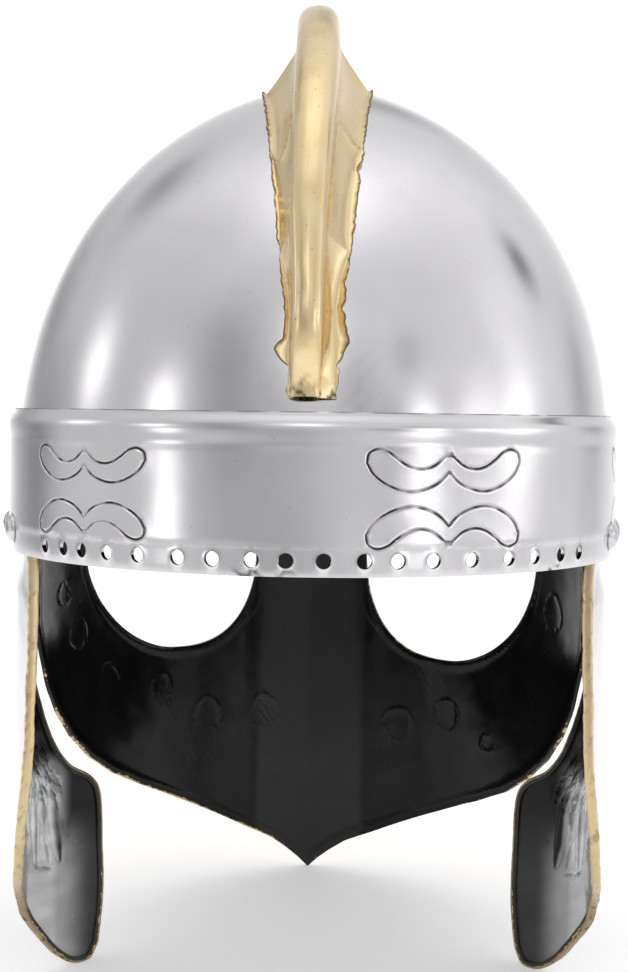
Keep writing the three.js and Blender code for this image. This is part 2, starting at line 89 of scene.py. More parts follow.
# %% Camera
CAMERA_PLACE = (0.6, -632.0, 48.0)
CAMERA_DOWN = math.radians(2.37) + LEAN
CAMERA_ROLL = 0.0135
FOCAL_LENGTH_MM = 65.26

camera = bpy.data.objects.new("camera", bpy.data.cameras.new("camera"))
camera.data.lens = FOCAL_LENGTH_MM
camera.data.sensor_width = 36
camera.data.clip_start = 0.01
looking = Matrix.Rotation(math.pi / 2 - CAMERA_DOWN, 4, "X") @ Matrix.Rotation(CAMERA_ROLL, 4, "Z")
camera.matrix_world = Matrix.Translation(TO_STANDING @ Vector(CAMERA_PLACE)) @ looking
bpy.context.collection.objects.link(camera)
bpy.context.scene.camera = camera
bpy.context.scene.view_settings.view_transform = "Standard"
print("camera at", [round(v, 3) for v in camera.location])

# %% [markdown]
# ## Building node trees
#
# Materials, the light of the room and Geometry Nodes are all trees of nodes. Two small helpers keep them
# short: one adds a node and fills or links its inputs, the other adds one step of arithmetic.

# %% Helpers for node trees
def add_node(tree, kind, inputs=None, **settings):
    """Adds a node. Each input is a value, or another node's socket to link."""
    node = tree.nodes.new(kind)
    for name, value in settings.items():
        setattr(node, name, value)
    for name, value in (inputs or {}).items():
        if isinstance(value, bpy.types.NodeSocket):
            tree.links.new(value, node.inputs[name])
        else:
            node.inputs[name].default_value = value
    return node


def maths(tree, operation, *values):
    """One step of arithmetic on numbers or sockets, and its result."""
    kind = "ShaderNodeMath"
    return add_node(tree, kind, dict(enumerate(values)), operation=operation).outputs[0]


# %% [markdown]
# ## Light
#
# Polished metal has hardly a look of its own: it shows the room. The room here is a pale studio. A real
# one has large soft lights with darker gaps between them, and those gaps draw the soft dark arcs that
# make a dome read as a dome. Area lights and cards could do it, but they would stand in the way when the
# helmet is seen from other sides. So the room is painted into the world: an even pale light, and a list
# of soft patches, each one lighter or darker than the rest.

# %% The room's light
ROOM_LIGHT = 0.70
RIGHT_IS_LIGHTER = 0.07
# Each patch: degrees round from the side of the camera towards the right, degrees up, half-width, light.
ROOM_PATCHES = [
    (-149, 6, 12, -0.24), (-128, -8, 16, -0.34), (-141, 35, 9, -0.28),       # dark gap, far left
    (-103, 14, 8, 0.85), (-66, 16, 7, 1.00), (-58, -2, 6, 1.10),             # two lights, left
    (-42, 33, 15, -0.24), (-36, 12, 14, -0.20), (-12, -2, 24, -0.22),        # the dim side of the camera
    (47, 14, 7, 1.05), (44, -2, 8, 0.95), (31, 14, 9, -0.25), (45, 31, 7, -0.18),   # tall light, right
    (70, 10, 8, 0.60), (84, 3, 8, 0.75), (92, 8, 8, 0.50), (95, 24, 14, 0.16),      # broad light, right
    (131, 2, 10, -0.26), (122, 27, 6, -0.50),                                # dark gap, far right
    (178, 2, 16, 0.46), (160, -14, 16, 0.21), (-168, -12, 14, 0.44), (172, 28, 9, -0.26),
    (-125, 58, 18, 0.14), (125, 56, 24, 0.22), (0, 90, 20, 0.62), (-3, 40, 10, 0.80),
]


def direction(around, up):
    """The unit vector to a place in the room."""
    a, e = math.radians(around), math.radians(up)
    return (math.sin(a) * math.cos(e), -math.cos(a) * math.cos(e), math.sin(e))


def light_the_room():
    world = bpy.data.worlds.new("studio")
    bpy.context.scene.world = world
    world.use_nodes = True
    tree = world.node_tree
    towards = add_node(tree, "ShaderNodeTexCoord").outputs["Generated"]
    right = add_node(tree, "ShaderNodeSeparateXYZ", {0: towards}).outputs["X"]
    light = maths(tree, "MULTIPLY_ADD", right, RIGHT_IS_LIGHTER, ROOM_LIGHT)
    for around, up, half_width, amount in ROOM_PATCHES:
        axis = direction(around, up)
        facing = add_node(tree, "ShaderNodeVectorMath", {0: towards, 1: axis}, operation="DOT_PRODUCT")
        sharpness = 2 / math.radians(half_width) ** 2
        power = maths(tree, "MULTIPLY_ADD", facing.outputs["Value"], sharpness, -sharpness)
        patch = maths(tree, "EXPONENT", power)
        light = maths(tree, "MULTIPLY_ADD", patch, amount, light)
    background = tree.nodes["Background"]
    tree.links.new(light, background.inputs["Strength"])
    background.inputs["Color"].default_value = (0.985, 0.985, 1.0, 1)


light_the_room()
print("room patches:", len(ROOM_PATCHES))

# %% [markdown]
# ## Floor
#
# The helmet stands on a pale sheet. A big flat square would do, but its far edge would draw a line across
# the room, so the sheet fades into the room's light before it gets there. It glows a little, as paper
# does with lamps all round it.

# %% The floor
FLOOR_HALF_SIZE = 3.0
FLOOR_GLOW = 0.4
# The table's pale sheet fades into the room between these distances from its middle, in metres.
FLOOR_FADES_FROM, FLOOR_FADES_TO = 0.45, 0.95


def add_floor():
    mesh = bpy.data.meshes.new("floor")
    s = FLOOR_HALF_SIZE
    mesh.from_pydata([(-s, -s, 0), (s, -s, 0), (s, s, 0), (-s, s, 0)], [], [(0, 1, 2, 3)])
    material = bpy.data.materials.new("pale floor")
    material.use_nodes = True
    tree = material.node_tree
    shader = tree.nodes["Principled BSDF"]
    place = add_node(tree, "ShaderNodeTexCoord").outputs["Object"]
    away = add_node(tree, "ShaderNodeVectorMath", {0: place}, operation="LENGTH").outputs["Value"]
    values = {"Value": away, "From Min": FLOOR_FADES_TO, "From Max": FLOOR_FADES_FROM}
    there = add_node(tree, "ShaderNodeMapRange", values, interpolation_type="SMOOTHSTEP").outputs[0]
    tree.links.new(there, shader.inputs["Alpha"])
    shader.inputs["Base Color"].default_value = (0.85, 0.85, 0.85, 1)
    shader.inputs["Roughness"].default_value = 0.9
    shader.inputs["Specular IOR Level"].default_value = 0.1
    shader.inputs["Emission Color"].default_value = (1, 1, 1, 1)
    shader.inputs["Emission Strength"].default_value = FLOOR_GLOW
    mesh.materials.append(material)
    floor = bpy.data.objects.new("floor", mesh)
    bpy.context.collection.objects.link(floor)


add_floor()
print("floor:", 2 * FLOOR_HALF_SIZE, "m wide")

# %% [markdown]
# ## Finishes
#
# Three kinds of finish cover the helmet. Polished steel and brass are metals whose colour and gloss both
# wander a little, because a hand polisher leaves some places brighter. The mask and the cheek plates are
# painted a glossy black inside, worn through to the metal under it at their edges. The meshes carry
# numbers at each of their corners: "worn" says where paint is gone; "rubbed_and_sheen" where it is thin,
# and on the cheek plates where a grey sheen is painted on; "grimed_and_shaded" where dirt has settled,
# and on the bowl beside the comb where a shade is painted on. They could be painted by hand, but the
# distance to an edge or a groove is known when the mesh is made.

# %% Helpers for finishes
def start_finish(name):
    material = bpy.data.materials.new(name)
    material.use_nodes = True
    tree = material.node_tree
    place = add_node(tree, "ShaderNodeTexCoord").outputs["Object"]
    return material, tree, place, tree.nodes["Principled BSDF"]


def cloud(tree, place, size_mm, detail=2.0, roughness=0.5, stretch=(1, 1, 1)):
    """Soft random grey, from 0 to 1, whose blotches are about size_mm across."""
    turned = add_node(tree, "ShaderNodeMapping", {"Vector": place, "Scale": stretch}).outputs[0]
    values = {"Vector": turned, "Scale": 1 / (size_mm * MM), "Detail": detail, "Roughness": roughness}
    return add_node(tree, "ShaderNodeTexNoise", values).outputs["Fac"]


def ramp(tree, value, low, high, out_low=0.0, out_high=1.0):
    """The value spread from low..high to out_low..out_high, and held there outside it."""
    values = {0: value, 1: low, 2: high, 3: out_low, 4: out_high}
    return add_node(tree, "ShaderNodeMapRange", values).outputs[0]


def blend_colours(tree, share, first, second):
    """A colour between two colours, each a colour or a socket."""
    node = add_node(tree, "ShaderNodeMix", data_type="RGBA")
    for name, value in (("Factor_Float", share), ("A_Color", first), ("B_Color", second)):
        socket = next(s for s in node.inputs if s.identifier == name)
        if isinstance(value, bpy.types.NodeSocket):
            tree.links.new(value, socket)
        else:
            socket.default_value = value
    return next(s for s in node.outputs if s.identifier == "Result_Color")


def attribute(tree, name):
    return add_node(tree, "ShaderNodeAttribute", attribute_name=name).outputs["Fac"]


def bump(tree, height, depth_mm, onto=None):
    values = {"Height": height, "Distance": depth_mm * MM, "Strength": 1.0}
    if onto is not None:
        values["Normal"] = onto
    return add_node(tree, "ShaderNodeBump", values).outputs["Normal"]


def set_shader(tree, shader, **values):
    """Sets or links the shader's inputs, named with _ for each space."""
    for name, value in values.items():
        socket = shader.inputs[name.replace("_", " ")]
        if isinstance(value, bpy.types.NodeSocket):
            tree.links.new(value, socket)
        else:
            socket.default_value = value


# %% [markdown]
# ## Polished steel
#
# The bowl, the band and the rivets are steel polished by hand. One low roughness would make a mirror
# ball. A real polisher leaves blotches of higher and lower gloss, hair-fine scratches and a few dark
# specks, so noise of several sizes drives the colour, the gloss and a very shallow bump.

# %% Polished steel
def polished_steel(name, light, dark, gloss):
    """gloss is the lowest and the highest roughness."""
    material, tree, place, shader = start_finish(name)
    blotches = cloud(tree, place, 34, detail=3)
    scratches = cloud(tree, place, 1.6, detail=3, stretch=(1, 1, 14))
    crossing = cloud(tree, place, 2.4, detail=2, stretch=(9, 1, 1))
    specks = ramp(tree, cloud(tree, place, 1.5, detail=2), 0.70, 0.76)
    # This number is dirt on most pieces, and on the bowl beside the comb a painted shade.
    grime_and_shade = attribute(tree, "grimed_and_shaded")
    tone = blend_colours(tree, ramp(tree, blotches, 0.35, 0.65), dark, light)
    specked = blend_colours(tree, maths(tree, "MULTIPLY", specks, 0.18), tone, (0.25, 0.23, 0.22, 1))
    colour = blend_colours(tree, grime_and_shade, specked, (0.055, 0.05, 0.05, 1))
    rough = ramp(tree, maths(tree, "ADD", blotches, scratches), 0.7, 1.3, *gloss)
    scoured = maths(tree, "MULTIPLY_ADD", grime_and_shade, 0.4, rough)
    fine = bump(tree, maths(tree, "ADD", scratches, crossing), 0.002)
    surface = bump(tree, cloud(tree, place, 16, detail=1), 0.05, fine)
    set_shader(tree, shader, Base_Color=colour, Roughness=scoured, Normal=surface, Metallic=1.0)
    return material


STEEL = polished_steel("polished steel", (0.83, 0.815, 0.825, 1), (0.77, 0.755, 0.775, 1), (0.05, 0.12))
RIVET_STEEL = polished_steel("rivet steel", (0.80, 0.79, 0.80, 1), (0.68, 0.67, 0.69, 1), (0.16, 0.3))


# %% [markdown]
# ## Brass
#
# The comb and the edging are brass that was worked hard: pale where it is rubbed, brown in its corners,
# with small pits. The finish mixes two golds by blotches and darkens them by the "grimed_and_shaded"
# number of the mesh, so the brown follows the real edges and not a random pattern.

# %% Brass
def polished_brass():
    material, tree, place, shader = start_finish("brass")
    blotches = cloud(tree, place, 14, detail=4)
    deep, pale = (0.88, 0.69, 0.38, 1), (0.92, 0.75, 0.46, 1)
    warm = blend_colours(tree, ramp(tree, blotches, 0.38, 0.66), deep, pale)
    pits = ramp(tree, cloud(tree, place, 1.1, detail=3), 0.69, 0.74)
    streaks = cloud(tree, place, 0.8, detail=2, stretch=(1, 0.15, 0.15))
    pitted = blend_colours(tree, maths(tree, "MULTIPLY", pits, 0.55), warm, (0.20, 0.12, 0.05, 1))
    grime_and_shade = attribute(tree, "grimed_and_shaded")
    colour = blend_colours(tree, grime_and_shade, pitted, (0.06, 0.038, 0.022, 1))
    rough = maths(tree, "MULTIPLY_ADD", grime_and_shade, 0.3, ramp(tree, blotches, 0.3, 0.7, 0.17, 0.30))
    hollows = bump(tree, maths(tree, "SUBTRACT", streaks, pits), 0.012)
    surface = bump(tree, cloud(tree, place, 6, detail=2), 0.10, hollows)
    set_shader(tree, shader, Base_Color=colour, Roughness=rough, Normal=surface, Metallic=1.0)
    return material


BRASS = polished_brass()


# %% [markdown]
# ## Black gloss paint
#
# Mask, cheek plates and bowl are painted black inside. The paint has to stay glossy and nearly black, yet
# show the metal where it is chipped and go grey where it was rubbed thin. On the cheek plates the same
# grey is a painted sheen, standing for the reflection that their black paint shows at a glancing angle.
# It could be two finishes side by side. One finish that mixes paint and metal by the numbers on the mesh
# makes softer borders.

# %% Black gloss paint over metal
def black_paint(name, metal):
    """Paint, with the metal under it showing where it is worn."""
    material, tree, place, shader = start_finish(name)
    chips = cloud(tree, place, 2.2, detail=4, roughness=0.65)
    bare = ramp(tree, maths(tree, "ADD", attribute(tree, "worn"), chips), 1.02, 1.12)
    dust = ramp(tree, cloud(tree, place, 9, detail=5, roughness=0.7), 0.55, 0.8)
    paint = blend_colours(tree, dust, (0.004, 0.004, 0.004, 1), (0.011, 0.010, 0.010, 1))
    # This number turns the paint grey and more metallic: real rubbing on the mask, a painted sheen on the
    # cheek plates.
    rubbed_and_sheen = attribute(tree, "rubbed_and_sheen")
    greyed_and_sheen = blend_colours(tree, rubbed_and_sheen, paint, (0.68, 0.685, 0.69, 1))
    colour = blend_colours(tree, bare, greyed_and_sheen, metal)
    shining = maths(tree, "MAXIMUM", bare, maths(tree, "MULTIPLY", rubbed_and_sheen, 0.8))
    rough = ramp(tree, cloud(tree, place, 12, detail=3), 0.3, 0.7, 0.14, 0.28)
    orange_peel = bump(tree, cloud(tree, place, 1.6, detail=3), 0.007)
    hammered = bump(tree, cloud(tree, place, 8, detail=1), 0.03, orange_peel)
    set_shader(tree, shader, Base_Color=colour, Metallic=shining, Roughness=rough, Normal=hammered)
    shader.inputs["Specular IOR Level"].default_value = 0.24
    return material


PAINT_ON_BRASS = black_paint("black paint on brass", (0.62, 0.43, 0.20, 1))
PAINT_ON_STEEL = black_paint("black paint on steel", (0.45, 0.36, 0.27, 1))
print("finishes:", [finish.name for finish in (STEEL, RIVET_STEEL, BRASS, PAINT_ON_BRASS, PAINT_ON_STEEL)])

# %% [markdown]
# ## Putting a piece in place
#
# Each finished mesh is leaned and stood on the floor by the one matrix, gets soft shading with crisp
# edges, and is handed to the frame: it rides on the helmet's one body and stands for the plain solids it
# covers.

# %% Helper that puts a piece in place
def place_piece(name, mesh, nodes, crisp_degrees=40):
    mesh.transform(TO_STANDING)
    mesh.shade_smooth()
    mesh.set_sharp_from_angle(angle=math.radians(crisp_degrees))
    piece = bpy.data.objects.new(name, mesh)
    bpy.context.collection.objects.link(piece)
    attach(piece, "root")
    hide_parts(*nodes)
    lows, highs = zip(*(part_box(node) for node in nodes))
    low = [min(values) for values in zip(*lows)]
    high = [max(values) for values in zip(*highs)]
    off = [round((min(v.co[k] for v in mesh.vertices) - low[k]) / MM, 1) for k in range(3)]
    off += [round((max(v.co[k] for v in mesh.vertices) - high[k]) / MM, 1) for k in range(3)]
    print(name, "triangles", sum(len(p.vertices) - 2 for p in mesh.polygons), "off its solids by mm", off)
    return piece


# %% [markdown]
# ## Bowl
#
# The real bowl is one sheet of steel raised over a stake and polished. It could be a squashed sphere or a
# sculpted mesh, but its shape follows a rule: an oval whose width and height go as powers of the sine and
# cosine of the angle from its apex. Geometry Nodes suit a rule. One flat grid is rolled up: one half of
# its rows becomes the outer face, the other half the inner face, and the row where they meet is the rim.

# %% Sizes of the bowl
BOWL = {
    "Half Width": 104.4,
    "Spring Height": 15.0,
    "Apex Height": 163.0,
    "Rim Depth": 3.0,
    "Wall": 1.2,
    "Side Power": 2 / 1.7,
    "Crown Power": 2 / 2.5,
    "Lean": 2.2,
    "Unevenness": 0.85,
}
BOWL_ROWS = 180
BOWL_COLUMNS = 200
RIM_SHARE = 0.03          # share of the rows that the straight rim takes
WELD_GAP = 0.01           # corners nearer than this become one, at the seam and at the apex


# %% [markdown]
# ## From a tree to a mesh
#
# A node tree becomes a modifier on a carrier object. The sizes go in through named inputs, which the
# modifier knows only by their sockets' identifiers. The evaluated result is then copied to a plain mesh
# and the carrier is thrown away, so nothing live is left to be worked out again.

# %% Helpers for Geometry Nodes
def new_geometry_tree(name, inputs):
    """A tree with one named input for each size, its sizes' sockets and their identifiers."""
    tree = bpy.data.node_groups.new(name, "GeometryNodeTree")
    tree.interface.new_socket("Geometry", in_out="INPUT", socket_type="NodeSocketGeometry")
    tree.interface.new_socket("Geometry", in_out="OUTPUT", socket_type="NodeSocketGeometry")
    identifiers = {}
    for label, value in inputs.items():
        kinds = {bool: "NodeSocketBool", int: "NodeSocketInt", float: "NodeSocketFloat"}
        kind = kinds.get(type(value), "NodeSocketMaterial")
        socket = tree.interface.new_socket(label, in_out="INPUT", socket_type=kind)
        identifiers[label] = socket.identifier
    sockets = add_node(tree, "NodeGroupInput").outputs
    return tree, sockets, identifiers


def mesh_from_tree(name, tree, identifiers, inputs, start=None):
    """Runs the tree on a mesh, and returns what it makes as a plain mesh."""
    carrier = bpy.data.objects.new(name, start or bpy.data.meshes.new(name + " start"))
    bpy.context.collection.objects.link(carrier)
    modifier = carrier.modifiers.new("nodes", "NODES")
    modifier.node_group = tree
    for label, value in inputs.items():
        modifier[identifiers[label]] = value
    bpy.context.view_layer.update()
    evaluated = carrier.evaluated_get(bpy.context.evaluated_depsgraph_get())
    mesh = bpy.data.meshes.new_from_object(evaluated)
    carrier.modifiers.remove(modifier)
    bpy.data.objects.remove(carrier)
    return mesh


# %% [markdown]
# ## Values that a finish reads
#
# Where wear and dirt lie, and where a shade or a sheen is painted on, is known while a piece is shaped,
# as a distance from an edge or a groove. It could be painted on the finished mesh by hand. Here it is
# kept as one number at each corner of the mesh, under the name that the finish asks for, and a soft
# step between two limits turns a distance into such a number.

# %% Helpers for values on a mesh
def smooth(value, low, high):
    t = np.clip((np.asarray(value, float) - low) / (high - low), 0, 1)
    return t * t * (3 - 2 * t)


def store(mesh, name, values):
    """Keeps one number at each corner of the mesh, for its finish to read."""
    mesh.attributes.new(name, "FLOAT", "POINT").data.foreach_set("value", np.asarray(values, np.float32))


# %% [markdown]
# ## Unevenness left by the hammer
#
# Planishing leaves a raised sheet a little uneven, and polish shows it as a slow wander in the
# reflections. It could be bump in the finish. Moving the points a little along their normals by a wide
# noise makes it part of the shape, so it also shows at the outline.

# %% The surface's unevenness
def uneven(tree, geometry, amount, size_mm=46):
    """Moves the surface in and out a little, as hand planishing leaves it."""
    wander = add_node(tree, "ShaderNodeTexNoise", {"Scale": 1 / size_mm, "Detail": 1.0}).outputs["Fac"]
    height = maths(tree, "MULTIPLY", maths(tree, "SUBTRACT", wander, 0.5), amount)
    normal = add_node(tree, "GeometryNodeInputNormal").outputs[0]
    offset = add_node(tree, "ShaderNodeVectorMath", {0: normal, "Scale": height}, operation="SCALE")
    values = {"Geometry": geometry, "Offset": offset.outputs[0]}
    return add_node(tree, "GeometryNodeSetPosition", values).outputs[0]


# %% [markdown]
# ## Rolling up the grid
#
# The first coordinate of the grid runs from the apex of the outer face, over the rim, to the apex of the
# inner face. The second runs once round. A sculpted bowl would never be quite true, so steps of
# arithmetic turn the two coordinates into a place on the oval.

# %% Places on the bowl
def bowl_place(tree, size, row, around, inner):
    """Where each point of the flat grid goes, from its row, its turn and whether it is on the inner face."""
    from_rim = maths(tree, "ABSOLUTE", row)
    climb = maths(tree, "DIVIDE", maths(tree, "SUBTRACT", 1.0, from_rim), 1 - RIM_SHARE)
    angle = maths(tree, "MULTIPLY", maths(tree, "MINIMUM", climb, 1.0), math.pi / 2)
    past_spring = maths(tree, "SUBTRACT", 1.0, maths(tree, "DIVIDE", from_rim, RIM_SHARE))
    drop = maths(tree, "MAXIMUM", past_spring, 0.0)
    width = maths(tree, "POWER", maths(tree, "SINE", angle), size["Side Power"])
    upright = maths(tree, "MAXIMUM", maths(tree, "COSINE", angle), 0.0)
    rise = maths(tree, "POWER", upright, size["Crown Power"])
    thinner = maths(tree, "MULTIPLY", inner, size["Wall"])
    half_width = maths(tree, "MULTIPLY", width, maths(tree, "SUBTRACT", size["Half Width"], thinner))
    half_length = maths(tree, "MULTIPLY_ADD", width, LONGER, half_width)
    apex = maths(tree, "SUBTRACT", size["Apex Height"], thinner)
    height = maths(tree, "SUBTRACT", apex, size["Spring Height"])
    lean = maths(tree, "MULTIPLY", rise, size["Lean"])
    x = maths(tree, "MULTIPLY_ADD", maths(tree, "SINE", around), half_width, lean)
    y = maths(tree, "MULTIPLY", maths(tree, "COSINE", around), half_length)
    z = maths(tree, "MULTIPLY_ADD", rise, height, size["Spring Height"])
    z = maths(tree, "SUBTRACT", z, maths(tree, "MULTIPLY", drop, size["Rim Depth"]))
    return add_node(tree, "ShaderNodeCombineXYZ", {0: x, 1: y, 2: z}).outputs[0]


# %% [markdown]
# ## The bowl's tree
#
# The tree lays out the grid, marks its inner half, moves every point to its place, welds the seam and the
# apex, and gives each face its finish. Python could work out the same mesh, but in a tree the sizes stay
# inputs that can be changed and run again.

# %% The bowl's tree
def bowl_tree(inputs):
    tree, size, identifiers = new_geometry_tree("rolled bowl", inputs)
    values = {"Size X": 2, "Size Y": 2 * math.pi, "Vertices X": BOWL_ROWS, "Vertices Y": BOWL_COLUMNS + 1}
    grid = add_node(tree, "GeometryNodeMeshGrid", values).outputs["Mesh"]
    here = add_node(tree, "GeometryNodeInputPosition").outputs[0]
    flat = add_node(tree, "ShaderNodeSeparateXYZ", {0: here})
    row, around = flat.outputs["X"], flat.outputs["Y"]
    inner = add_node(tree, "FunctionNodeCompare", {0: row, 1: 0.0}, operation="GREATER_THAN").outputs[0]
    marked = add_node(
        tree, "GeometryNodeStoreNamedAttribute",
        {"Geometry": grid, "Name": "inner face", "Value": inner}, data_type="BOOLEAN", domain="POINT",
    ).outputs[0]
    place = bowl_place(tree, size, row, around, inner)
    rolled = add_node(tree, "GeometryNodeSetPosition", {"Geometry": marked, "Position": place}).outputs[0]
    values = {"Geometry": rolled, "Distance": WELD_GAP}
    welded = add_node(tree, "GeometryNodeMergeByDistance", values).outputs[0]
    outward = add_node(tree, "GeometryNodeFlipFaces", {"Mesh": welded}).outputs[0]
    beaten = uneven(tree, outward, size["Unevenness"])
    values = {"Geometry": beaten, "Material": size["Steel"]}
    steel = add_node(tree, "GeometryNodeSetMaterial", values).outputs[0]
    inside = add_node(
        tree, "GeometryNodeInputNamedAttribute", {"Name": "inner face"}, data_type="BOOLEAN",
    ).outputs["Attribute"]
    whole = add_node(tree, "GeometryNodeRealizeInstances", {0: steel}).outputs[0]
    values = {"Geometry": whole, "Selection": inside, "Material": size["Paint"]}
    painted = add_node(tree, "GeometryNodeSetMaterial", values).outputs[0]
    add_node(tree, "NodeGroupOutput", {0: painted})
    return tree, identifiers


# %% [markdown]
# ## The finished bowl
#
# The tree is run once with the bowl's sizes. The painted shade beside the comb, which stands for the comb's
# dark reflection in the bowl, could be one more branch of the tree, but is easier to read as a line of
# arithmetic on the finished corners.

# %% Bowl
def painted_shade_beside_comb(places):
    """Painted shade beside the comb's foot, standing for the comb's dark reflection in the bowl, more on the
    wearer's right.
    """
    x, y, z = places.T
    beside_comb = np.exp(-((np.abs(x) - 13) / 6) ** 2) * (1 - smooth(z, 54, 74)) * (y < 0)
    streaky = 0.85 + 0.15 * np.sin(z * 1.3 - np.abs(x) * 0.9)
    return np.where(x > 0, 0.32, 0.1) * beside_comb * streaky


bowl_inputs = {**BOWL, "Steel": STEEL, "Paint": PAINT_ON_STEEL}
bowl_mesh = mesh_from_tree("bowl", *bowl_tree(bowl_inputs), bowl_inputs)
bowl_mesh.name = "steel bowl"
# The painted shade beside the comb goes into the number that the steel finish darkens by.
store(bowl_mesh, "grimed_and_shaded", painted_shade_beside_comb(np.array([tuple(v.co) for v in bowl_mesh.vertices])))
place_piece("steel_bowl", bowl_mesh, ["bowl"], crisp_degrees=60)

# %% [markdown]
# ## Sheet metal from a flat blank
#
# The band, the mask and the cheek plates start, as real ones do, as flat blanks. The blank is cut along
# its outlines, filled with triangles that crowd together where a line is engraved, and then bent to its
# place. Bending is only a formula from the flat place to the outer and the inner face. Cutting the holes
# out of a finished wall with booleans would also work, but it leaves ragged edges and uneven shading.

# %% Helpers for blanks
def cut_blank(loops, points):
    """Triangles inside the first loop and outside the others, through all the given flat points."""
    flat = [tuple(p) for loop in loops for p in loop]
    edges = []
    start = 0
    for loop in loops:
        count = len(loop)
        edges += [(start + k, start + (k + 1) % count) for k in range(count)]
        start += count
    flat += [tuple(p) for p in points]
    result = delaunay_2d_cdt([Vector(p) for p in flat], edges, [], 1, 1e-5)
    places = np.array([tuple(v) for v in result[0]])
    triangles = np.array([tuple(face) for face in result[2]])
    middles = places[triangles].mean(axis=1)
    keep = np.ones(len(triangles), bool)
    for loop in loops[1:]:
        keep &= ~inside_loop(middles, np.array(loop))
    return places, triangles[keep]


def inside_loop(points, loop):
    """Whether each flat point lies inside a closed loop, by counting crossings."""
    inside = np.zeros(len(points), bool)
    for (x0, y0), (x1, y1) in zip(loop, np.roll(loop, -1, axis=0)):
        if y0 == y1:
            continue
        crosses = (y0 > points[:, 1]) != (y1 > points[:, 1])
        at = x0 + (points[:, 1] - y0) / (y1 - y0) * (x1 - x0)
        inside ^= crosses & (points[:, 0] < at)
    return inside


def thick_sheet(name, outer, inner, triangles):
    """A closed wall between an outer and an inner place for each corner of a patch of triangles."""
    _, first, weld = np.unique(np.round(outer, 3), axis=0, return_index=True, return_inverse=True)
    weld = weld.reshape(-1)
    triangles = weld[triangles]
    proper = (triangles[:, 0] != triangles[:, 1]) & (triangles[:, 1] != triangles[:, 2])
    triangles = triangles[proper & (triangles[:, 2] != triangles[:, 0])]
    count = len(first)
    edges = np.concatenate([triangles[:, [0, 1]], triangles[:, [1, 2]], triangles[:, [2, 0]]])
    there = edges[:, 0] * count + edges[:, 1]
    back = edges[:, 1] * count + edges[:, 0]
    rim = edges[~np.isin(there, back)]
    walls = np.stack([rim[:, 1], rim[:, 0], rim[:, 0] + count, rim[:, 1] + count], axis=1)
    faces = triangles.tolist() + (triangles[:, ::-1] + count).tolist() + walls.tolist()
    mesh = bpy.data.meshes.new(name)
    mesh.from_pydata(np.concatenate([outer[first], inner[first]]).tolist(), [], faces)
    kinds = np.repeat([0, 1, 2], [len(triangles), len(triangles), len(walls)])
    return mesh, first, kinds


def dress(mesh, kinds, outer, inner, rim):
    """Gives the outer face, the inner face and the rim their finishes."""
    for material in (outer, inner, rim):
        mesh.materials.append(material)
    mesh.polygons.foreach_set("material_index", kinds.astype(np.int32))


# %% [markdown]
# ## Lines and curves
#
# Most outlines are drawn as a few points with a smooth curve through them, then divided evenly, because
# even corners make even triangles. Blender's own curve objects could do it, but plain arrays of numbers
# are easier to measure distances from.

# %% Helpers for lines and curves
def read_list(points, x):
    """Straight lines through [x, value] points."""
    xs, values = zip(*points)
    return np.interp(x, xs, values)


def spread_along(line, spacing, closed=False):
    """Points at an even spacing along a flat line."""
    line = np.array(line, float)
    if closed:
        line = np.concatenate([line, line[:1]])
    steps = np.r_[0, np.cumsum(np.hypot(*np.diff(line, axis=0).T))]
    count = max(3, int(round(steps[-1] / spacing)))
    at = np.linspace(0, steps[-1], count + 1)
    placed = np.stack([np.interp(at, steps, line[:, k]) for k in (0, 1)], axis=1)
    return placed[:-1] if closed else placed


def curve_through(points, samples=24):
    """A smooth curve through points, whose corners are as tight as their spacing (centripetal)."""
    p = np.array(points, float)
    p = np.concatenate([[2 * p[0] - p[1]], p, [2 * p[-1] - p[-2]]])
    line = []
    for a, b, c, d in zip(p, p[1:], p[2:], p[3:]):
        before, here, after = (math.sqrt(math.dist(*pair)) for pair in ((a, b), (b, c), (c, d)))
        leave = ((b - a) / before - (c - a) / (before + here) + (c - b) / here) * here
        arrive = ((c - b) / here - (d - b) / (here + after) + (d - c) / after) * here
        for t in np.arange(samples) / samples:
            line.append(
                b * (2 * t**3 - 3 * t**2 + 1) + c * (3 * t**2 - 2 * t**3)
                + leave * (t**3 - 2 * t**2 + t) + arrive * (t**3 - t**2)
            )
    line.append(p[-2])
    return np.array(line)


def along(line, share):
    """The places at the given shares of a line's length."""
    steps = np.r_[0, np.cumsum(np.hypot(*np.diff(line, axis=0).T))]
    at = np.asarray(share, float) * steps[-1]
    return np.stack([np.interp(at, steps, line[:, k]) for k in (0, 1)], axis=-1)


# %% [markdown]
# ## Distances and unevenness
#
# Wear and grooves are worked out from the distance to an outline or a stroke, and hand work from a soft
# random number that is the same each run. A texture could give both. A number worked out in the script is
# used twice, to move the corners of the mesh and to colour them.

# %% Helpers for distances and unevenness
def away_from(points, line, reach):
    """Distance from each point to the nearest of a line's points, or reach where that is more."""
    best = np.full(len(points), reach, float)
    for start in range(0, len(line), 200):
        part = line[start:start + 200]
        near = (points[:, 0] > part[:, 0].min() - reach) & (points[:, 0] < part[:, 0].max() + reach)
        if near.any():
            across = points[near, None, 0] - part[None, :, 0]
            up = points[near, None, 1] - part[None, :, 1]
            best[near] = np.minimum(best[near], np.hypot(across, up).min(axis=1))
    return best


def thin_out(points, gap):
    """Drops each point that comes nearer than about gap to one before it."""
    kept, taken = [], set()
    for x, y in points:
        cell = (int(round(x / gap)), int(round(y / gap)))
        if cell not in taken:
            taken.add(cell)
            kept.append((x, y))
    return np.array(kept)


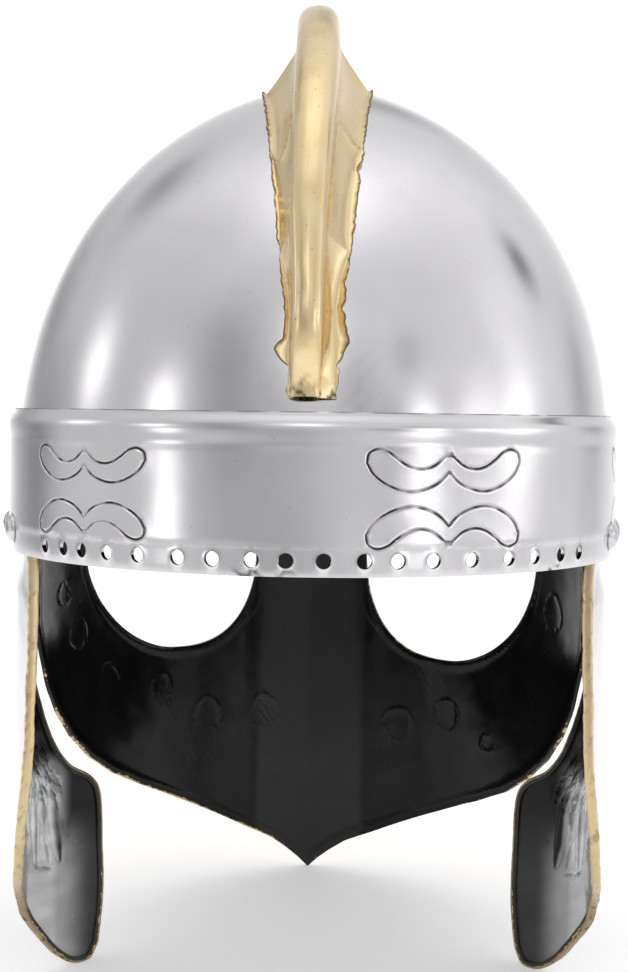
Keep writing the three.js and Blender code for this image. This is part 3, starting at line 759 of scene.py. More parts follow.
def rumple(points, size, seed):
    """A soft random number from -1 to 1 at each point, from a few crossed waves."""
    random = np.random.default_rng(seed)
    total = np.zeros(len(points))
    for _ in range(14):
        wave = random.normal(size=points.shape[1]) * 2 * math.pi / (size * 1.6)
        total += np.sin(points @ wave + random.uniform(0, 2 * math.pi))
    return total / 5


# %% [markdown]
# ## Brow band
#
# A strip of steel is bent to an oval and riveted on round the rim. Its top is rolled to a bead, its lower
# rim is turned in a little, and a row of hand-drilled holes across the back is for hanging mail. Pairs of
# double crescents are engraved round it with a chisel. The grooves could be bump in the finish, but at a
# millimetre wide they catch the light like the real cuts only if they are cut into the mesh.

# %% Sizes of the band
BAND_HEIGHT = 48.4
BAND_WALL = 1.2
BAND_FACE = [
    (0, 105.5), (1.2, 105.8), (8.4, 106.4), (9.8, 106.75), (11, 106.7), (37.4, 106.65), (38.8, 106.45),
    (40.2, 106.75), (42.4, 107.05), (44.4, 107.0), (46, 106.2), (47.4, 105.1), (48.4, 104.7),
]
WALL_HALF_WIDTH, WALL_HALF_LENGTH = 106.7, 120.2   # the band's flat part, between rim and bead
MAIL_HOLE_RADIUS = 2.3
MAIL_HOLE_Z = 4.8
MAIL_HOLE_PLACES = [
    -53, -47, -42, -36, -29.5, -22, -16, -9.5, -4,
    2, 8.5, 14, 20, 27, 34.5, 40.5, 47.5, 53.5,
]
# Where the rim is chipped: degrees round from the middle of the back, and how widely.
WORN_RIM_PLACES = [(-10, 4.5), (-3.5, 2), (46, 3)]
ROUND_MM = 2.0            # millimetres of blank for each degree round the oval, near enough
# Dirt gathers round the cheek rivets, so the blank has to know their places.
CHEEK_RIVET_Z = 8.0
CHEEK_RIVET_ANGLES = (71.2, 83.0)
RIVETS_ON_BLANK = np.array([
    (side * degrees * ROUND_MM, CHEEK_RIVET_Z) for side in (-1, 1) for degrees in CHEEK_RIVET_ANGLES
])


def band_half_width(z):
    """The band's outer face, with its bends rounded a little."""
    return np.mean([read_list(BAND_FACE, z + shift) for shift in (-0.7, -0.35, 0, 0.35, 0.7)], axis=0)


def on_oval(half_width, angle, z, longer=LONGER):
    return np.stack([half_width * np.sin(angle), (half_width + longer) * np.cos(angle), z], axis=-1)


def oval_normal(half_width, angle):
    sideways, forwards = np.sin(angle) / half_width, np.cos(angle) / (half_width + LONGER)
    out = np.stack([sideways, forwards, np.zeros_like(angle)], -1)
    return out / np.linalg.norm(out, axis=-1, keepdims=True)


def stretch_there(degrees):
    """How many millimetres a degree really takes, at so many degrees from the middle of the back."""
    a = np.radians(degrees)
    return np.hypot(WALL_HALF_WIDTH * np.cos(a), WALL_HALF_LENGTH * np.sin(a)) * math.pi / 180


# %% [markdown]
# ## Engraved crescents
#
# Each pair is two mirrored double crescents, cut with a curved chisel in a few strokes. A drawing could
# be projected on the band. Here the strokes are short lists of places on the flat blank, and some pairs
# are cut a little less tall, because a hand never cuts two quite alike.

# %% The engraved crescents
# One half of a double crescent: millimetres from its middle cusp, and height over its lowest point.
CRESCENT_LOWER = [(0, 5.8), (3.4, 2.6), (8.4, 0.5), (13.6, 0), (19.5, 1.8), (24.2, 5.1), (26.2, 8.4)]
CRESCENT_END = [(26.2, 8.4), (25.6, 11), (22.8, 12.4), (19.6, 11.6), (17, 9.7)]
CRESCENT_UPPER = [(16.6, 9.4), (13.2, 7.4), (9.4, 6.6), (5.2, 7.5), (1.2, 10.4)]
# Each pair: degrees round from the middle of the back, and how tall it was cut.
PAIRS = [(-158, 0.95), (-101, 1.0), (-41.2, 0.86), (22.4, 1.0), (83.5, 0.94), (142, 1.0)]
UPPER_PAIR_Z = 25.4
LOWER_PAIR_Z = 20.9
GROOVE_HALF_WIDTH = 0.36
GROOVE_DEPTH = 0.32
BURR_HEIGHT = 0.07        # raised beside a groove
LIP_HEIGHT = 0.16         # raised round a drilled hole
BAND_WAVE = 0.10          # how far the strip wanders in and out
print("band:", len(PAIRS), "pairs of crescents")


def crescent_strokes(middle, tall):
    """The chisel strokes of one pair, on the blank."""
    across = ROUND_MM / stretch_there(middle)
    strokes = []
    for side in (-1, 1):
        for base, up in ((UPPER_PAIR_Z, 1), (LOWER_PAIR_Z, -1)):
            for outline in (CRESCENT_LOWER, CRESCENT_END, CRESCENT_UPPER):
                line = curve_through(outline)
                sideways = middle * ROUND_MM + side * line[:, 0] * across
                upwards = base + up * (line[:, 1] * tall + 6.2 * (1 - tall))
                strokes.append(spread_along(np.stack([sideways, upwards], 1), 0.7))
    return strokes


# %% [markdown]
# ## The band's blank
#
# The blank needs few triangles in its plain parts and many along the strokes, where a groove is less than
# a millimetre wide. So an even grid is cleared near the strokes and holes, and rows of points are laid
# beside them instead.

# %% The band's blank
def hole_rings():
    """Each mail hole's outline on the blank."""
    turn = np.linspace(0, 2 * math.pi, 22, endpoint=False)
    rings = []
    for degrees in MAIL_HOLE_PLACES:
        across = MAIL_HOLE_RADIUS * ROUND_MM / stretch_there(degrees)
        sideways = degrees * ROUND_MM + across * np.cos(turn)
        rings.append(np.stack([sideways, MAIL_HOLE_Z + MAIL_HOLE_RADIUS * np.sin(turn)], 1))
    return rings


def crowded_points(strokes, holes):
    """Extra points beside each chisel stroke and round each cheek rivet, clear of the holes."""
    rows = []
    for stroke in strokes:
        aside = np.gradient(stroke, axis=0)
        aside = np.stack([-aside[:, 1], aside[:, 0]], 1) / np.hypot(*aside.T)[:, None]
        rows += [stroke + aside * shift for shift in (0, -0.28, 0.28, -0.6, 0.6, -1.1, 1.1)]
    turn = np.linspace(0, 2 * math.pi, 40, endpoint=False)
    for radius in (3.9, 4.4, 4.9, 5.5):
        circle = radius * np.stack([np.cos(turn), np.sin(turn)], 1)
        rows += [seat + circle for seat in RIVETS_ON_BLANK]
    points = thin_out(np.concatenate(rows), 0.27)
    points = points[away_from(points, np.concatenate(holes), 3) > 0.9]
    inside_holes = np.zeros(len(points), bool)
    for ring in holes:
        inside_holes |= np.hypot(*(points - ring.mean(0)).T) < MAIL_HOLE_RADIUS * 1.5
    return points[~inside_holes & (points[:, 1] > 0.5)]


def band_blank():
    """Flat places as [degrees round from the back x ROUND_MM, height], their triangles and the grooves."""
    half = 180 * ROUND_MM
    top = BAND_HEIGHT - 0.5
    heights = np.r_[np.linspace(0, 11, 9), np.linspace(13, 36, 12), np.linspace(37, top, 12), BAND_HEIGHT]
    rounds = np.linspace(-half, half, 361)
    strokes = [stroke for pair in PAIRS for stroke in crescent_strokes(*pair)]
    grooves = np.concatenate(strokes)
    holes = hole_rings()
    lips = [(ring - ring.mean(0)) * grow + ring.mean(0) for ring in holes for grow in (1.18, 1.4)]
    edge = np.concatenate([
        np.stack([rounds, np.zeros_like(rounds)], 1),
        np.stack([np.full(len(heights) - 2, half), heights[1:-1]], 1),
        np.stack([rounds[::-1], np.full_like(rounds, BAND_HEIGHT)], 1),
        np.stack([np.full(len(heights) - 2, -half), heights[-2:0:-1]], 1),
    ])
    grid = np.stack(np.meshgrid(rounds[1:-1], heights[1:-1], indexing="ij"), -1).reshape(-1, 2)
    grid = grid[away_from(grid, grooves, 3) > 1.5]
    grid = grid[away_from(grid, np.concatenate(holes), 3) > 1.3]
    points = np.concatenate([crowded_points(strokes, holes), *lips, grid])
    return cut_blank([edge, *holes], points), grooves, holes


# %% [markdown]
# ## Bending and marking the band
#
# The blank is bent to the oval as two faces, and the outer one is cut in along the strokes. A chisel
# throws up a thin burr on both sides of its cut, a drill leaves a lip round its hole, and both catch the
# light. Dirt lies where a cloth doesn't reach: in the grooves and holes and round the cheek plates'
# rivets, and a thin dark line is laid along the top edge. It could all be painted on, but the distances
# already say where it goes.

# %% The band
def build_band():
    (flat, triangles), grooves, holes = band_blank()
    degrees, z = flat[:, 0] / ROUND_MM, flat[:, 1]
    angle = np.mod(math.pi - np.radians(degrees), 2 * math.pi)
    half_width = band_half_width(z)
    normal = oval_normal(half_width, angle)
    cut = away_from(flat, grooves, 3)
    weight = np.clip(0.8 + 0.5 * rumple(flat, 10, 3), 0.3, 1.2)
    depth = GROOVE_DEPTH * weight * np.clip(1 - (cut / GROOVE_HALF_WIDTH) ** 2, 0, 1)
    burr = BURR_HEIGHT * np.exp(-((cut - 0.85) / 0.25) ** 2)
    to_hole = away_from(flat, np.concatenate(holes), 3)
    lip = LIP_HEIGHT * np.exp(-(to_hole / 0.5) ** 2)
    outer = on_oval(half_width, angle, z)
    wave = rumple(outer, 34, 5) * BAND_WAVE
    outer = outer + normal * (wave - depth + burr + lip)[:, None]
    inner = on_oval(half_width, angle, z) - normal * BAND_WALL
    mesh, first, kinds = thick_sheet("engraved band", outer, inner, triangles)
    grime_and_shade = np.clip(1.7 - cut / GROOVE_HALF_WIDTH, 0, 1) * np.clip(weight + 0.1, 0, 1)
    grime_and_shade = np.maximum(grime_and_shade, 0.5 * np.clip(1 - to_hole / 0.35, 0, 1))
    worn_there = sum(np.exp(-((degrees - place) / wide) ** 2) for place, wide in WORN_RIM_PLACES)
    worn_rim = smooth(rumple(outer, 1.6, 8) + 2.2 * worn_there, 2.0, 2.4) * (1 - smooth(z, 1.2, 2.6))
    from_rivet = away_from(flat, RIVETS_ON_BLANK, 9)
    grime_and_shade = np.maximum(grime_and_shade, 0.85 * (1 - smooth(from_rivet, 4.6, 5.4)))
    # A thin dark line along the band's top edge, where it meets the bowl.
    seam = 0.9 * smooth(z, BAND_HEIGHT - 0.45, BAND_HEIGHT) * smooth(rumple(outer, 12, 15), -1.2, 0.3)
    grime_and_shade = np.maximum(np.maximum(grime_and_shade, worn_rim), seam)[first]
    store(mesh, "grimed_and_shaded", np.r_[grime_and_shade, grime_and_shade * 0])
    dress(mesh, kinds, STEEL, PAINT_ON_STEEL, STEEL)
    return mesh


place_piece("engraved_band", build_band(), ["brow_band"])

# %% [markdown]
# ## Rivets
#
# Nine steel rivets hold the mask and the cheek plates to the band: a low domed head outside, hammered a
# little out of round, and a peened tail inside. They repeat, so one rivet is instanced on nine points.
# Each point carries the way straight out of the band there, and the instance is turned to it.

# %% Sizes and places of the rivets
RIVET = {"Head Radius": 4.4, "Head Height": 2.5, "Tail Radius": 3.0, "Tail Height": 1.2, "Grip": 6.3}
CHEEK_RIVET_Y = {"rear": -38.8, "front": -14.6}
MASK_RIVET_Z = 24.0
MASK_RIVET_ANGLES = {
    "middle": 0, "right_inner": 33, "right_outer": 66, "left_inner": -33, "left_outer": -66,
}


def rivet_seats():
    """Each rivet's node, and where its head meets the band."""
    seats = {}
    for side, sign in (("left", -1), ("right", 1)):
        for where, y in CHEEK_RIVET_Y.items():
            angle = sign * math.acos(y / (WALL_HALF_WIDTH + LONGER))
            seats[f"cheek_rivet_{side}_{where}"] = (angle, CHEEK_RIVET_Z)
    for where, degrees in MASK_RIVET_ANGLES.items():
        seats[f"mask_rivet_{where}"] = (math.radians(degrees), MASK_RIVET_Z)
    return seats


# %% [markdown]
# ## The rivets' tree
#
# A head and a tail are squashed balls, joined to one rivet. Instancing it on points means that its shape
# is made once, and a change to it changes all nine.

# %% The rivets' tree
def rivet_tree(inputs):
    tree, size, identifiers = new_geometry_tree("rivets", inputs)
    parts = []
    for end, radius, height in (("Head", size["Head Radius"], size["Head Height"]),
                                ("Tail", size["Tail Radius"], size["Tail Height"])):
        values = {"Segments": 36, "Rings": 24, "Radius": 1.0}
        ball = add_node(tree, "GeometryNodeMeshUVSphere", values).outputs[0]
        scale = add_node(tree, "ShaderNodeCombineXYZ", {0: radius, 1: radius, 2: height}).outputs[0]
        place = add_node(tree, "ShaderNodeCombineXYZ")
        if end == "Tail":
            tree.links.new(maths(tree, "MULTIPLY", size["Grip"], -1.0), place.inputs[2])
        values = {"Geometry": ball, "Translation": place.outputs[0], "Scale": scale}
        parts.append(add_node(tree, "GeometryNodeTransform", values).outputs[0])
    rivet = add_node(tree, "GeometryNodeJoinGeometry")
    for part in reversed(parts):
        tree.links.new(part, rivet.inputs[0])
    out = add_node(tree, "GeometryNodeInputNamedAttribute", {"Name": "out"}, data_type="FLOAT_VECTOR")
    values = {"Vector": out.outputs["Attribute"]}
    turn = add_node(tree, "FunctionNodeAlignRotationToVector", values, axis="Z")
    values = {"Points": size["Geometry"], "Instance": rivet.outputs[0], "Rotation": turn.outputs[0]}
    placed = add_node(tree, "GeometryNodeInstanceOnPoints", values).outputs[0]
    real = add_node(tree, "GeometryNodeRealizeInstances", {0: placed}).outputs[0]
    beaten = uneven(tree, real, size["Unevenness"], 3.4)
    values = {"Geometry": beaten, "Material": size["Steel"]}
    add_node(tree, "NodeGroupOutput", {0: add_node(tree, "GeometryNodeSetMaterial", values).outputs[0]})
    return tree, identifiers


# %% [markdown]
# ## Setting the rivets
#
# A real rivet is pushed through both sheets, and its tail is hammered flat. Here a mesh of nine loose
# corners marks the seats, a hair outside the band. The seats could be nine empties, but the corners of
# one mesh keep them together, and one mesh takes the one finish.

# %% Rivets
def build_rivets():
    seats = rivet_seats()
    angles, heights = (np.array(values, float) for values in zip(*seats.values()))
    widths = band_half_width(heights) + 0.15
    points = bpy.data.meshes.new("rivet points")
    points.from_pydata(on_oval(widths, angles, heights).tolist(), [], [])
    out = points.attributes.new("out", "FLOAT_VECTOR", "POINT")
    out.data.foreach_set("vector", oval_normal(widths, angles).astype(np.float32).ravel())
    inputs = {**RIVET, "Unevenness": 0.7, "Steel": RIVET_STEEL}
    mesh = mesh_from_tree("rivets", *rivet_tree(inputs), inputs, points)
    return mesh, list(seats)


rivet_mesh, rivet_nodes = build_rivets()
place_piece("hammered_rivets", rivet_mesh, rivet_nodes)

# %% [markdown]
# ## Comb
#
# The brass comb is a hollow sheet beaten over a form: a rounded bar stands on flanks that slope out onto
# the bowl. The flanks are worked in long leaf-shaped flutes with sharp creases between them, and their
# edges were snipped by hand and are ragged. It could be sculpted. A grid of cross-sections along the
# bowl's middle line keeps it exact and fine: each section knows how far the bowl falls away beside it.

# %% Sizes of the comb
CREST_END = 79.8
CREST_HEIGHT = 27.5
CREST_END_HEIGHT = 14.0
CREST_ROUNDED_FROM = 0.90   # from this share of its way to an end, the comb comes down to the bowl
CREST_END_DROP = 0.84
CREST_DENTS = 0.07
CREST_SEAT = 0.6
CREST_WALL = 1.0
# Half-widths along the comb, by degrees from the apex: its bar, and its flanks' lower edges.
CREST_RIDGE = [(0, 7.2), (35, 7.1), (50, 6.3), (60, 5.5), (68, 4.6), (81, 4.2)]
CREST_FLANGE = [(0, 19.6), (21, 18.4), (42, 15), (53, 12.9), (60, 11.3), (67, 9.6), (72, 8.8), (81, 6.4)]
# The bar wanders to the wearer's left towards its rear end.
CREST_WANDER = [(-81, -2.4), (-70, -1.9), (-60, -2.1), (-48, -1.0), (-30, 0.1), (81, 0.0)]


def dome_place(angle):
    """Places on the dome's middle line, as y and z."""
    turn = np.abs(angle)
    width, rise = np.sin(turn) ** BOWL["Side Power"], np.cos(turn) ** BOWL["Crown Power"]
    height = BOWL["Apex Height"] - BOWL["Spring Height"]
    y = np.sign(angle) * (BOWL["Half Width"] + LONGER) * width
    return np.stack([y, BOWL["Spring Height"] + height * rise], axis=-1)


def inside_dome(x, y, z):
    rise = np.clip((z - BOWL["Spring Height"]) / (BOWL["Apex Height"] - BOWL["Spring Height"]), 0, 1)
    width = np.maximum(1 - rise ** (2 / BOWL["Crown Power"]), 1e-9) ** (BOWL["Side Power"] / 2)
    across = (x - BOWL["Lean"] * rise) / (BOWL["Half Width"] * width)
    long = y / ((BOWL["Half Width"] + LONGER) * width)
    return across**2 + long**2 < 1


def fall_beside(line, out, across):
    """How far up, along the way out, the dome lies at a distance to the side."""
    low, high = np.full(across.shape, -14.0), np.full(across.shape, 2.0)
    for _ in range(24):
        up = (low + high) / 2
        inside = inside_dome(across, line[:, :1] + out[:, :1] * up, line[:, 1:] + out[:, 1:] * up)
        low, high = np.where(inside, up, low), np.where(inside, high, up)
    return low


# %% [markdown]
# ## The comb's flutes
#
# The flanks were beaten into hollows over a stake, with a crease left standing between each two. They
# could be sculpted with a crease brush. Here a list says where each crease runs, and the depth between
# two of them falls to nothing at both, steeply, which keeps the creases sharp.

# %% The comb's flutes
CREST_STATIONS = 420
CREST_ACROSS = 72
# Creases across each flank, by degrees from the apex: at the bar, how far they sag between, at the edge.
CREASES = {
    1: [(-18, 0, -21), (18, 0, 21), (42.5, 1.5, 42), (62, 0, 62), (98, 0, 98)],
    -1: [(-21, 0, -21), (21, 0, 21), (39, 7.5, 41), (61, 0, 63), (98, 0, 98)],
}
FLUTE_DEPTH = 3.3
# Tabs and nicks in a flank's edge: degrees from the apex, how wide, how far out.
EDGE_BITES = {
    1: [(47.5, 0.8, -1.3), (66, 0.9, -0.9), (69.5, 0.6, -1.0), (73.4, 1.3, 2.2), (76.2, 0.4, -1.6)],
    -1: [(52, 0.7, -0.7), (70.5, 0.8, -0.8), (74.6, 1.2, 3.6), (76.6, 0.4, -1.6), (79, 0.8, 1.2)],
}


def flute(side, degrees, share):
    """How deep the flank's flutes are, at a share of the way from the bar to the edge."""
    depth = np.zeros_like(share)
    lines = [bar + (edge - bar) * share + sag * np.sin(np.pi * share) for bar, sag, edge in CREASES[side]]
    for start, end in zip(lines, lines[1:]):
        t = (degrees - start) / (end - start)
        here = (t >= 0) & (t < 1)
        depth = np.where(here, np.sqrt(np.clip(4 * t * (1 - t), 0, 1)) * (end - start) / 24, depth)
    return depth


# %% [markdown]
# ## The comb's middle line
#
# The comb follows the bowl's own curve from back to front, at a few hundred stations. Near its ends it
# comes down to the bowl in a rounded slope. A curve object could be its spine, but the formula of the
# bowl is already there.

# %% The comb's middle line
def crest_sections():
    """Degrees, middle line, way out and height at each station along the comb."""
    share = np.linspace(-1, 1, CREST_STATIONS)
    degrees = CREST_END * share
    angle = np.radians(degrees) + 1e-6
    line = dome_place(angle)
    ahead = dome_place(angle + 0.02) - dome_place(angle - 0.02)
    out = np.stack([-ahead[:, 1], ahead[:, 0]], axis=-1) / np.linalg.norm(ahead, axis=-1, keepdims=True)
    out *= np.where(out[:, 1:] < 0, -1, 1)
    away = np.abs(share)
    rounding = np.sqrt(1 - smooth(away, CREST_ROUNDED_FROM, 1) * CREST_END_DROP)
    height = (CREST_HEIGHT + (CREST_END_HEIGHT - CREST_HEIGHT) * away**2.2) * rounding
    return degrees, line, out, height


def spline_rows(knots, at):
    """A smooth curve through each row's knots, read at the same shares in every row."""
    before, after = 2 * knots[:, :1] - knots[:, 1:2], 2 * knots[:, -1:] - knots[:, -2:-1]
    padded = np.concatenate([before, knots, after], 1)
    spot = np.clip(at, 0, 1) * (knots.shape[1] - 1)
    k = np.minimum(spot.astype(int), knots.shape[1] - 2)
    t = (spot - k)[None, :, None]
    a, b, c, d = (padded[:, k + shift] for shift in range(4))
    return b + 0.5 * t * (c - a + t * (2 * a - 5 * b + 4 * c - d + t * (3 * (b - c) + d - a)))


# %% [markdown]
# ## One side of the comb
#
# Each cross-section is a smooth curve through ten knots: out at the flank's edge, up the flank, round the
# bar. Half a section could be mirrored, but the real sides aren't alike. Each has its own creases and its
# own snips in the edge, so they are made one at a time.

# %% One side of the comb
BAR_STARTS = 4 / 9        # the share of a half section's outline that the flank takes


def snipped_edge(side, degrees):
    """How far out the ragged edge of a flank stands at each station."""
    away = np.abs(degrees)
    bites = sum(far * np.exp(-((away - place) / wide) ** 2) for place, wide, far in EDGE_BITES[side])
    ragged = rumple(np.stack([degrees * 2.1, degrees * 0 + side * 50], 1), 4, 11)
    nibbled = rumple(np.stack([degrees * 2.1, degrees * 0 + side * 90], 1), 1.7, 12)
    return bites + 0.28 * ragged + 0.2 * nibbled


def crest_half(side, degrees, line, out, height, shrink):
    """One side of the comb from the flank's edge to the top: across and up at each station."""
    away = np.abs(degrees)
    bar = read_list(CREST_RIDGE, away) - shrink
    edge = read_list(CREST_FLANGE, away)
    reach = edge - bar
    seat = CREST_SEAT + (CREST_WALL if shrink == 0 else 0)
    ground = fall_beside(line, out, side * np.stack([edge, edge - 1.5], axis=1)) + seat
    tall = height - shrink
    climb = tall * 0.54 - ground[:, 0]
    outline = [
        (edge, ground[:, 0]),
        (edge - reach * 0.14, ground[:, 0] + climb * 0.12),
        (edge - reach * 0.42, ground[:, 0] + climb * 0.40),
        (edge - reach * 0.74, ground[:, 0] + climb * 0.74),
        (bar + 0.3, tall * 0.54),
        (bar, tall * 0.67),
        (bar * 0.98, tall * 0.79),
        (bar * 0.82, tall * 0.91),
        (bar * 0.45, tall * 0.98),
        (bar * 0, tall),
    ]
    knots = np.stack([np.stack(knot, 1) for knot in outline], axis=1)
    at = np.linspace(0, 1, CREST_ACROSS // 2 + 1)
    rows = spline_rows(knots, at)
    share = np.ones((len(degrees), 1)) * np.clip(1 - at / BAR_STARTS, 0, 1)
    hollow = FLUTE_DEPTH * flute(side, away[:, None], share) * np.sin(np.pi * share) ** 0.7
    hollow *= 1 - smooth(away, 68, 79)[:, None]
    rows[:, :, 1] -= hollow * 0.75
    rows[:, :, 0] -= hollow * 0.55
    outward = snipped_edge(side, degrees)[:, None] * np.clip(share * 4 - 3, 0, 1)
    slope = (ground[:, 0] - ground[:, 1]) / 1.5
    rows[:, :, 0] += outward
    rows[:, :, 1] += outward * slope[:, None]
    wander = read_list(CREST_WANDER, degrees)[:, None] * (1 - share)
    rows[:, :, 0] = rows[:, :, 0] * side + wander
    return rows


# %% [markdown]
# ## Joining the comb
#
# The outer and the inner face have the same sections, the inner ones smaller by the wall, and are closed
# along their edges. Solidify could give the thickness, but it grows uneven at sharp creases. The hammer's
# dents move the outer face only. Dirt lies along the edge and at both ends.

# %% The comb
def build_crest():
    degrees, line, out, height = crest_sections()
    layers = []
    for shrink in (0, CREST_WALL):
        right = crest_half(1, degrees, line, out, height, shrink)
        left = crest_half(-1, degrees, line, out, height, shrink)
        loop = np.concatenate([right, left[:, -2::-1]], axis=1)
        across, up = loop[..., 0], loop[..., 1]
        y = line[:, :1] + out[:, :1] * up
        z = line[:, 1:] + out[:, 1:] * up
        layers.append(np.stack([across, y, z], axis=-1))
    outer, inner = layers
    size = outer.shape[1]
    dents = rumple(outer.reshape(-1, 3), 9, 21).reshape(outer.shape[:2])
    every = np.ones_like(dents)
    inward = np.stack([0 * every, -out[:, :1] * every, -out[:, 1:] * every], -1)
    outer = outer + inward * (CREST_DENTS * dents)[..., None]
    patch = np.arange(CREST_STATIONS * size).reshape(CREST_STATIONS, size)
    a, b, c, d = patch[:-1, :-1], patch[1:, :-1], patch[1:, 1:], patch[:-1, 1:]
    quads = np.stack([a, b, c, d], -1).reshape(-1, 4)
    triangles = np.concatenate([quads[:, [0, 1, 2]], quads[:, [0, 2, 3]]])
    mesh, first, kinds = thick_sheet("brass comb", outer.reshape(-1, 3), inner.reshape(-1, 3), triangles)
    edge = np.abs(np.linspace(-1, 1, size))[None, :] * np.ones((CREST_STATIONS, 1))
    speck = rumple(outer.reshape(-1, 3), 2.6, 31).reshape(edge.shape)
    ends = smooth(np.abs(degrees), 77.2, 79.8)[:, None] * smooth(speck, 0.1, 0.9)
    grime_and_shade = np.maximum(smooth(edge + 0.012 * speck, 0.978, 0.996), ends).reshape(-1)[first]
    store(mesh, "grimed_and_shaded", np.r_[grime_and_shade, grime_and_shade * 0 + 0.15])
    dress(mesh, kinds, BRASS, BRASS, BRASS)
    return mesh


place_piece("brass_comb", build_crest(), ["crest"], crisp_degrees=60)

# %% [markdown]
# ## Mask
#
# The mask hangs inside the bowl from five rivets. It is brass sheet with two large eye openings and a
# pointed lower edge. Its inside, painted a glossy black, shows the punched rings and the hammer marks of
# the work on its face, and its rims are rolled. The blank is laid out by angle and height, so bending it
# round the oval is one formula, and the rings, rims and hammer marks are all small heights added before
# it bends.

# %% Sizes of the mask
TUCK_HALF_WIDTH = 102.4
MASK_WALL = 1.3
MASK_TOP_Z = 34.0
MASK_SIDE = math.radians(83.5)
MASK_SKEW = 0.037         # the mask hangs a little lower on the wearer's right
MASK_KEEL = 3.0
MASK_KEEL_HALF_WIDTH = 28.0
MASK_EDGE = [
    (0, -146.5), (4, -142.6), (9, -138.6), (16, -133.8), (28, -128.2), (42, -121.4), (56, -114.6),
    (70, -107.3), (80, -100.6), (87.5, -92.5), (93.5, -82), (97.3, -71), (99.6, -60), (101, -46),
    (102.6, -22),
]
EYE = {"centre": 56.5, "half_width": 33.0, "widest_z": -7.0, "drop": 44.7, "rise": 8.0}
BLANK_RADIUS = 106.0
# Punched rings: distance to the wearer's right, height, radius and how hard they were struck.
RINGS = [
    (-92, -39.5, 6.2, 1.2), (-96, -21.7, 4.4, 1.1), (-81.5, -60, 6.2, 0.8), (-62, -65, 4.6, 0.6),
    (-43.7, -78.4, 6.4, 0.9), (-19.6, -79, 6.8, 0.9), (38, -82.5, 6.8, 0.7), (57.5, -76.8, 6.4, 0.8),
    (73.6, -85.6, 3.2, 0.8), (94.8, -28.7, 6.2, 1.2),
]
# Clusters of short punch strokes: distance to the right, height, size and how hard.
STROKE_CLUSTERS = [
    (-50, -92, 9, 0.5), (-57, -77, 6, 0.6), (36, -96, 8, 0.45), (50, -62, 11, 0.5), (-19, -80, 4, 0.5),
]
print("mask:", len(RINGS), "punched rings,", len(STROKE_CLUSTERS), "clusters of strokes")


def tucked_half_width(z):
    return TUCK_HALF_WIDTH - smooth(z, 6, 34)


def mask_bend(angle, z, depth):
    """A place on the mask from its angle, its height on the blank and how far in it lies."""
    half_width = tucked_half_width(z)
    base = on_oval(half_width, angle, z)
    keel = MASK_KEEL * np.maximum(0, 1 - np.abs(base[:, 0]) / MASK_KEEL_HALF_WIDTH) * smooth(-z, -10, 30)
    place = base - oval_normal(half_width, angle) * np.asarray(depth)[:, None]
    place[:, 1] += keel
    place[:, 2] = z - MASK_SKEW * place[:, 0] * smooth(-z, -10, 40)
    return place


# %% [markdown]
# ## The mask's outlines
#
# The eye openings are rounder below than above, so their quarters are ovals with different powers. The
# lower edge is a list of places. Both are divided evenly before the blank is cut.

# %% The mask's outlines
def eye_loop(side):
    """The eye opening's outline on the blank."""
    turn = np.linspace(0, 2 * math.pi, 400, endpoint=False)
    across, up = np.cos(turn), np.sin(turn)
    inner = (across < 0)
    power = np.where(up > 0, 4.0, np.where(inner, 2.4, 2.0))
    x = EYE["centre"] + EYE["half_width"] * np.sign(across) * np.abs(across) ** (2 / power)
    tall = np.where(up > 0, EYE["rise"], EYE["drop"])
    z = EYE["widest_z"] + tall * np.sign(up) * np.abs(up) ** (2 / power)
    angle = np.arcsin(x / TUCK_HALF_WIDTH)
    line = np.stack([side * angle * BLANK_RADIUS, z], 1)
    return spread_along(line[::side], 1.3, closed=True)


def mask_outline():
    """The blank's outer outline: across the top, down the side, along the lower edge and up again."""
    xs = np.linspace(0, TUCK_HALF_WIDTH * math.sin(MASK_SIDE), 160)
    lower = np.stack([np.arcsin(xs / TUCK_HALF_WIDTH) * BLANK_RADIUS, read_list(MASK_EDGE, xs)], 1)
    side = MASK_SIDE * BLANK_RADIUS
    right = spread_along(np.concatenate([lower, [(side, MASK_TOP_Z)]]), 1.3)
    top = spread_along([(side, MASK_TOP_Z), (-side, MASK_TOP_Z)], 2.2)
    left = right[::-1] * (-1, 1)
    return np.concatenate([right[:-1], top[:-1], left[:-1]])


# %% [markdown]
# ## Punched rings and strokes
#
# The rings are punched from the front, so from inside they stand out as low broken circles. They could be
# stamped with a height map. As sums of small hills worked out from distances they need none, and each can
# be struck harder or lighter.

# %% Working the mask's surface
def on_blank(x, z):
    """Where a place on the hanging mask lies on its blank."""
    return np.array([math.asin(x / TUCK_HALF_WIDTH) * BLANK_RADIUS, z + MASK_SKEW * x])


RING_HEIGHT = 0.32
STROKE_HEIGHT = 0.16


def ring_marks(flat):
    """Height of the punched rings, as seen from inside."""
    height = np.zeros(len(flat))
    for x, z, radius, strength in RINGS:
        off = flat - on_blank(x, z)
        gap, turn = np.hypot(*off.T), np.arctan2(off[:, 1], off[:, 0])
        struck = 0.5 + 0.5 * np.sin(turn + x) + 0.35 * rumple(flat, 2.5, int(-z))
        wobbly = radius * (1 + 0.07 * np.sin(3 * turn + z))
        height += RING_HEIGHT * strength * struck * np.exp(-((gap - wobbly) / 0.7) ** 2)
        height -= 0.13 * strength * np.exp(-(gap / (radius * 0.8)) ** 4)
    return height


def stroke_marks(flat):
    """Clusters of slanting strokes, fading out from their middles."""
    height = np.zeros(len(flat))
    for x, z, size, strength in STROKE_CLUSTERS:
        off = flat - on_blank(x, z)
        ridges = np.sin((off[:, 0] * 0.8 + off[:, 1] * 0.5) * 2.6 + 1.5 * rumple(flat, 5, int(size)))
        height += STROKE_HEIGHT * strength * ridges * np.exp(-(np.hypot(*off.T) / size) ** 3)
    return height


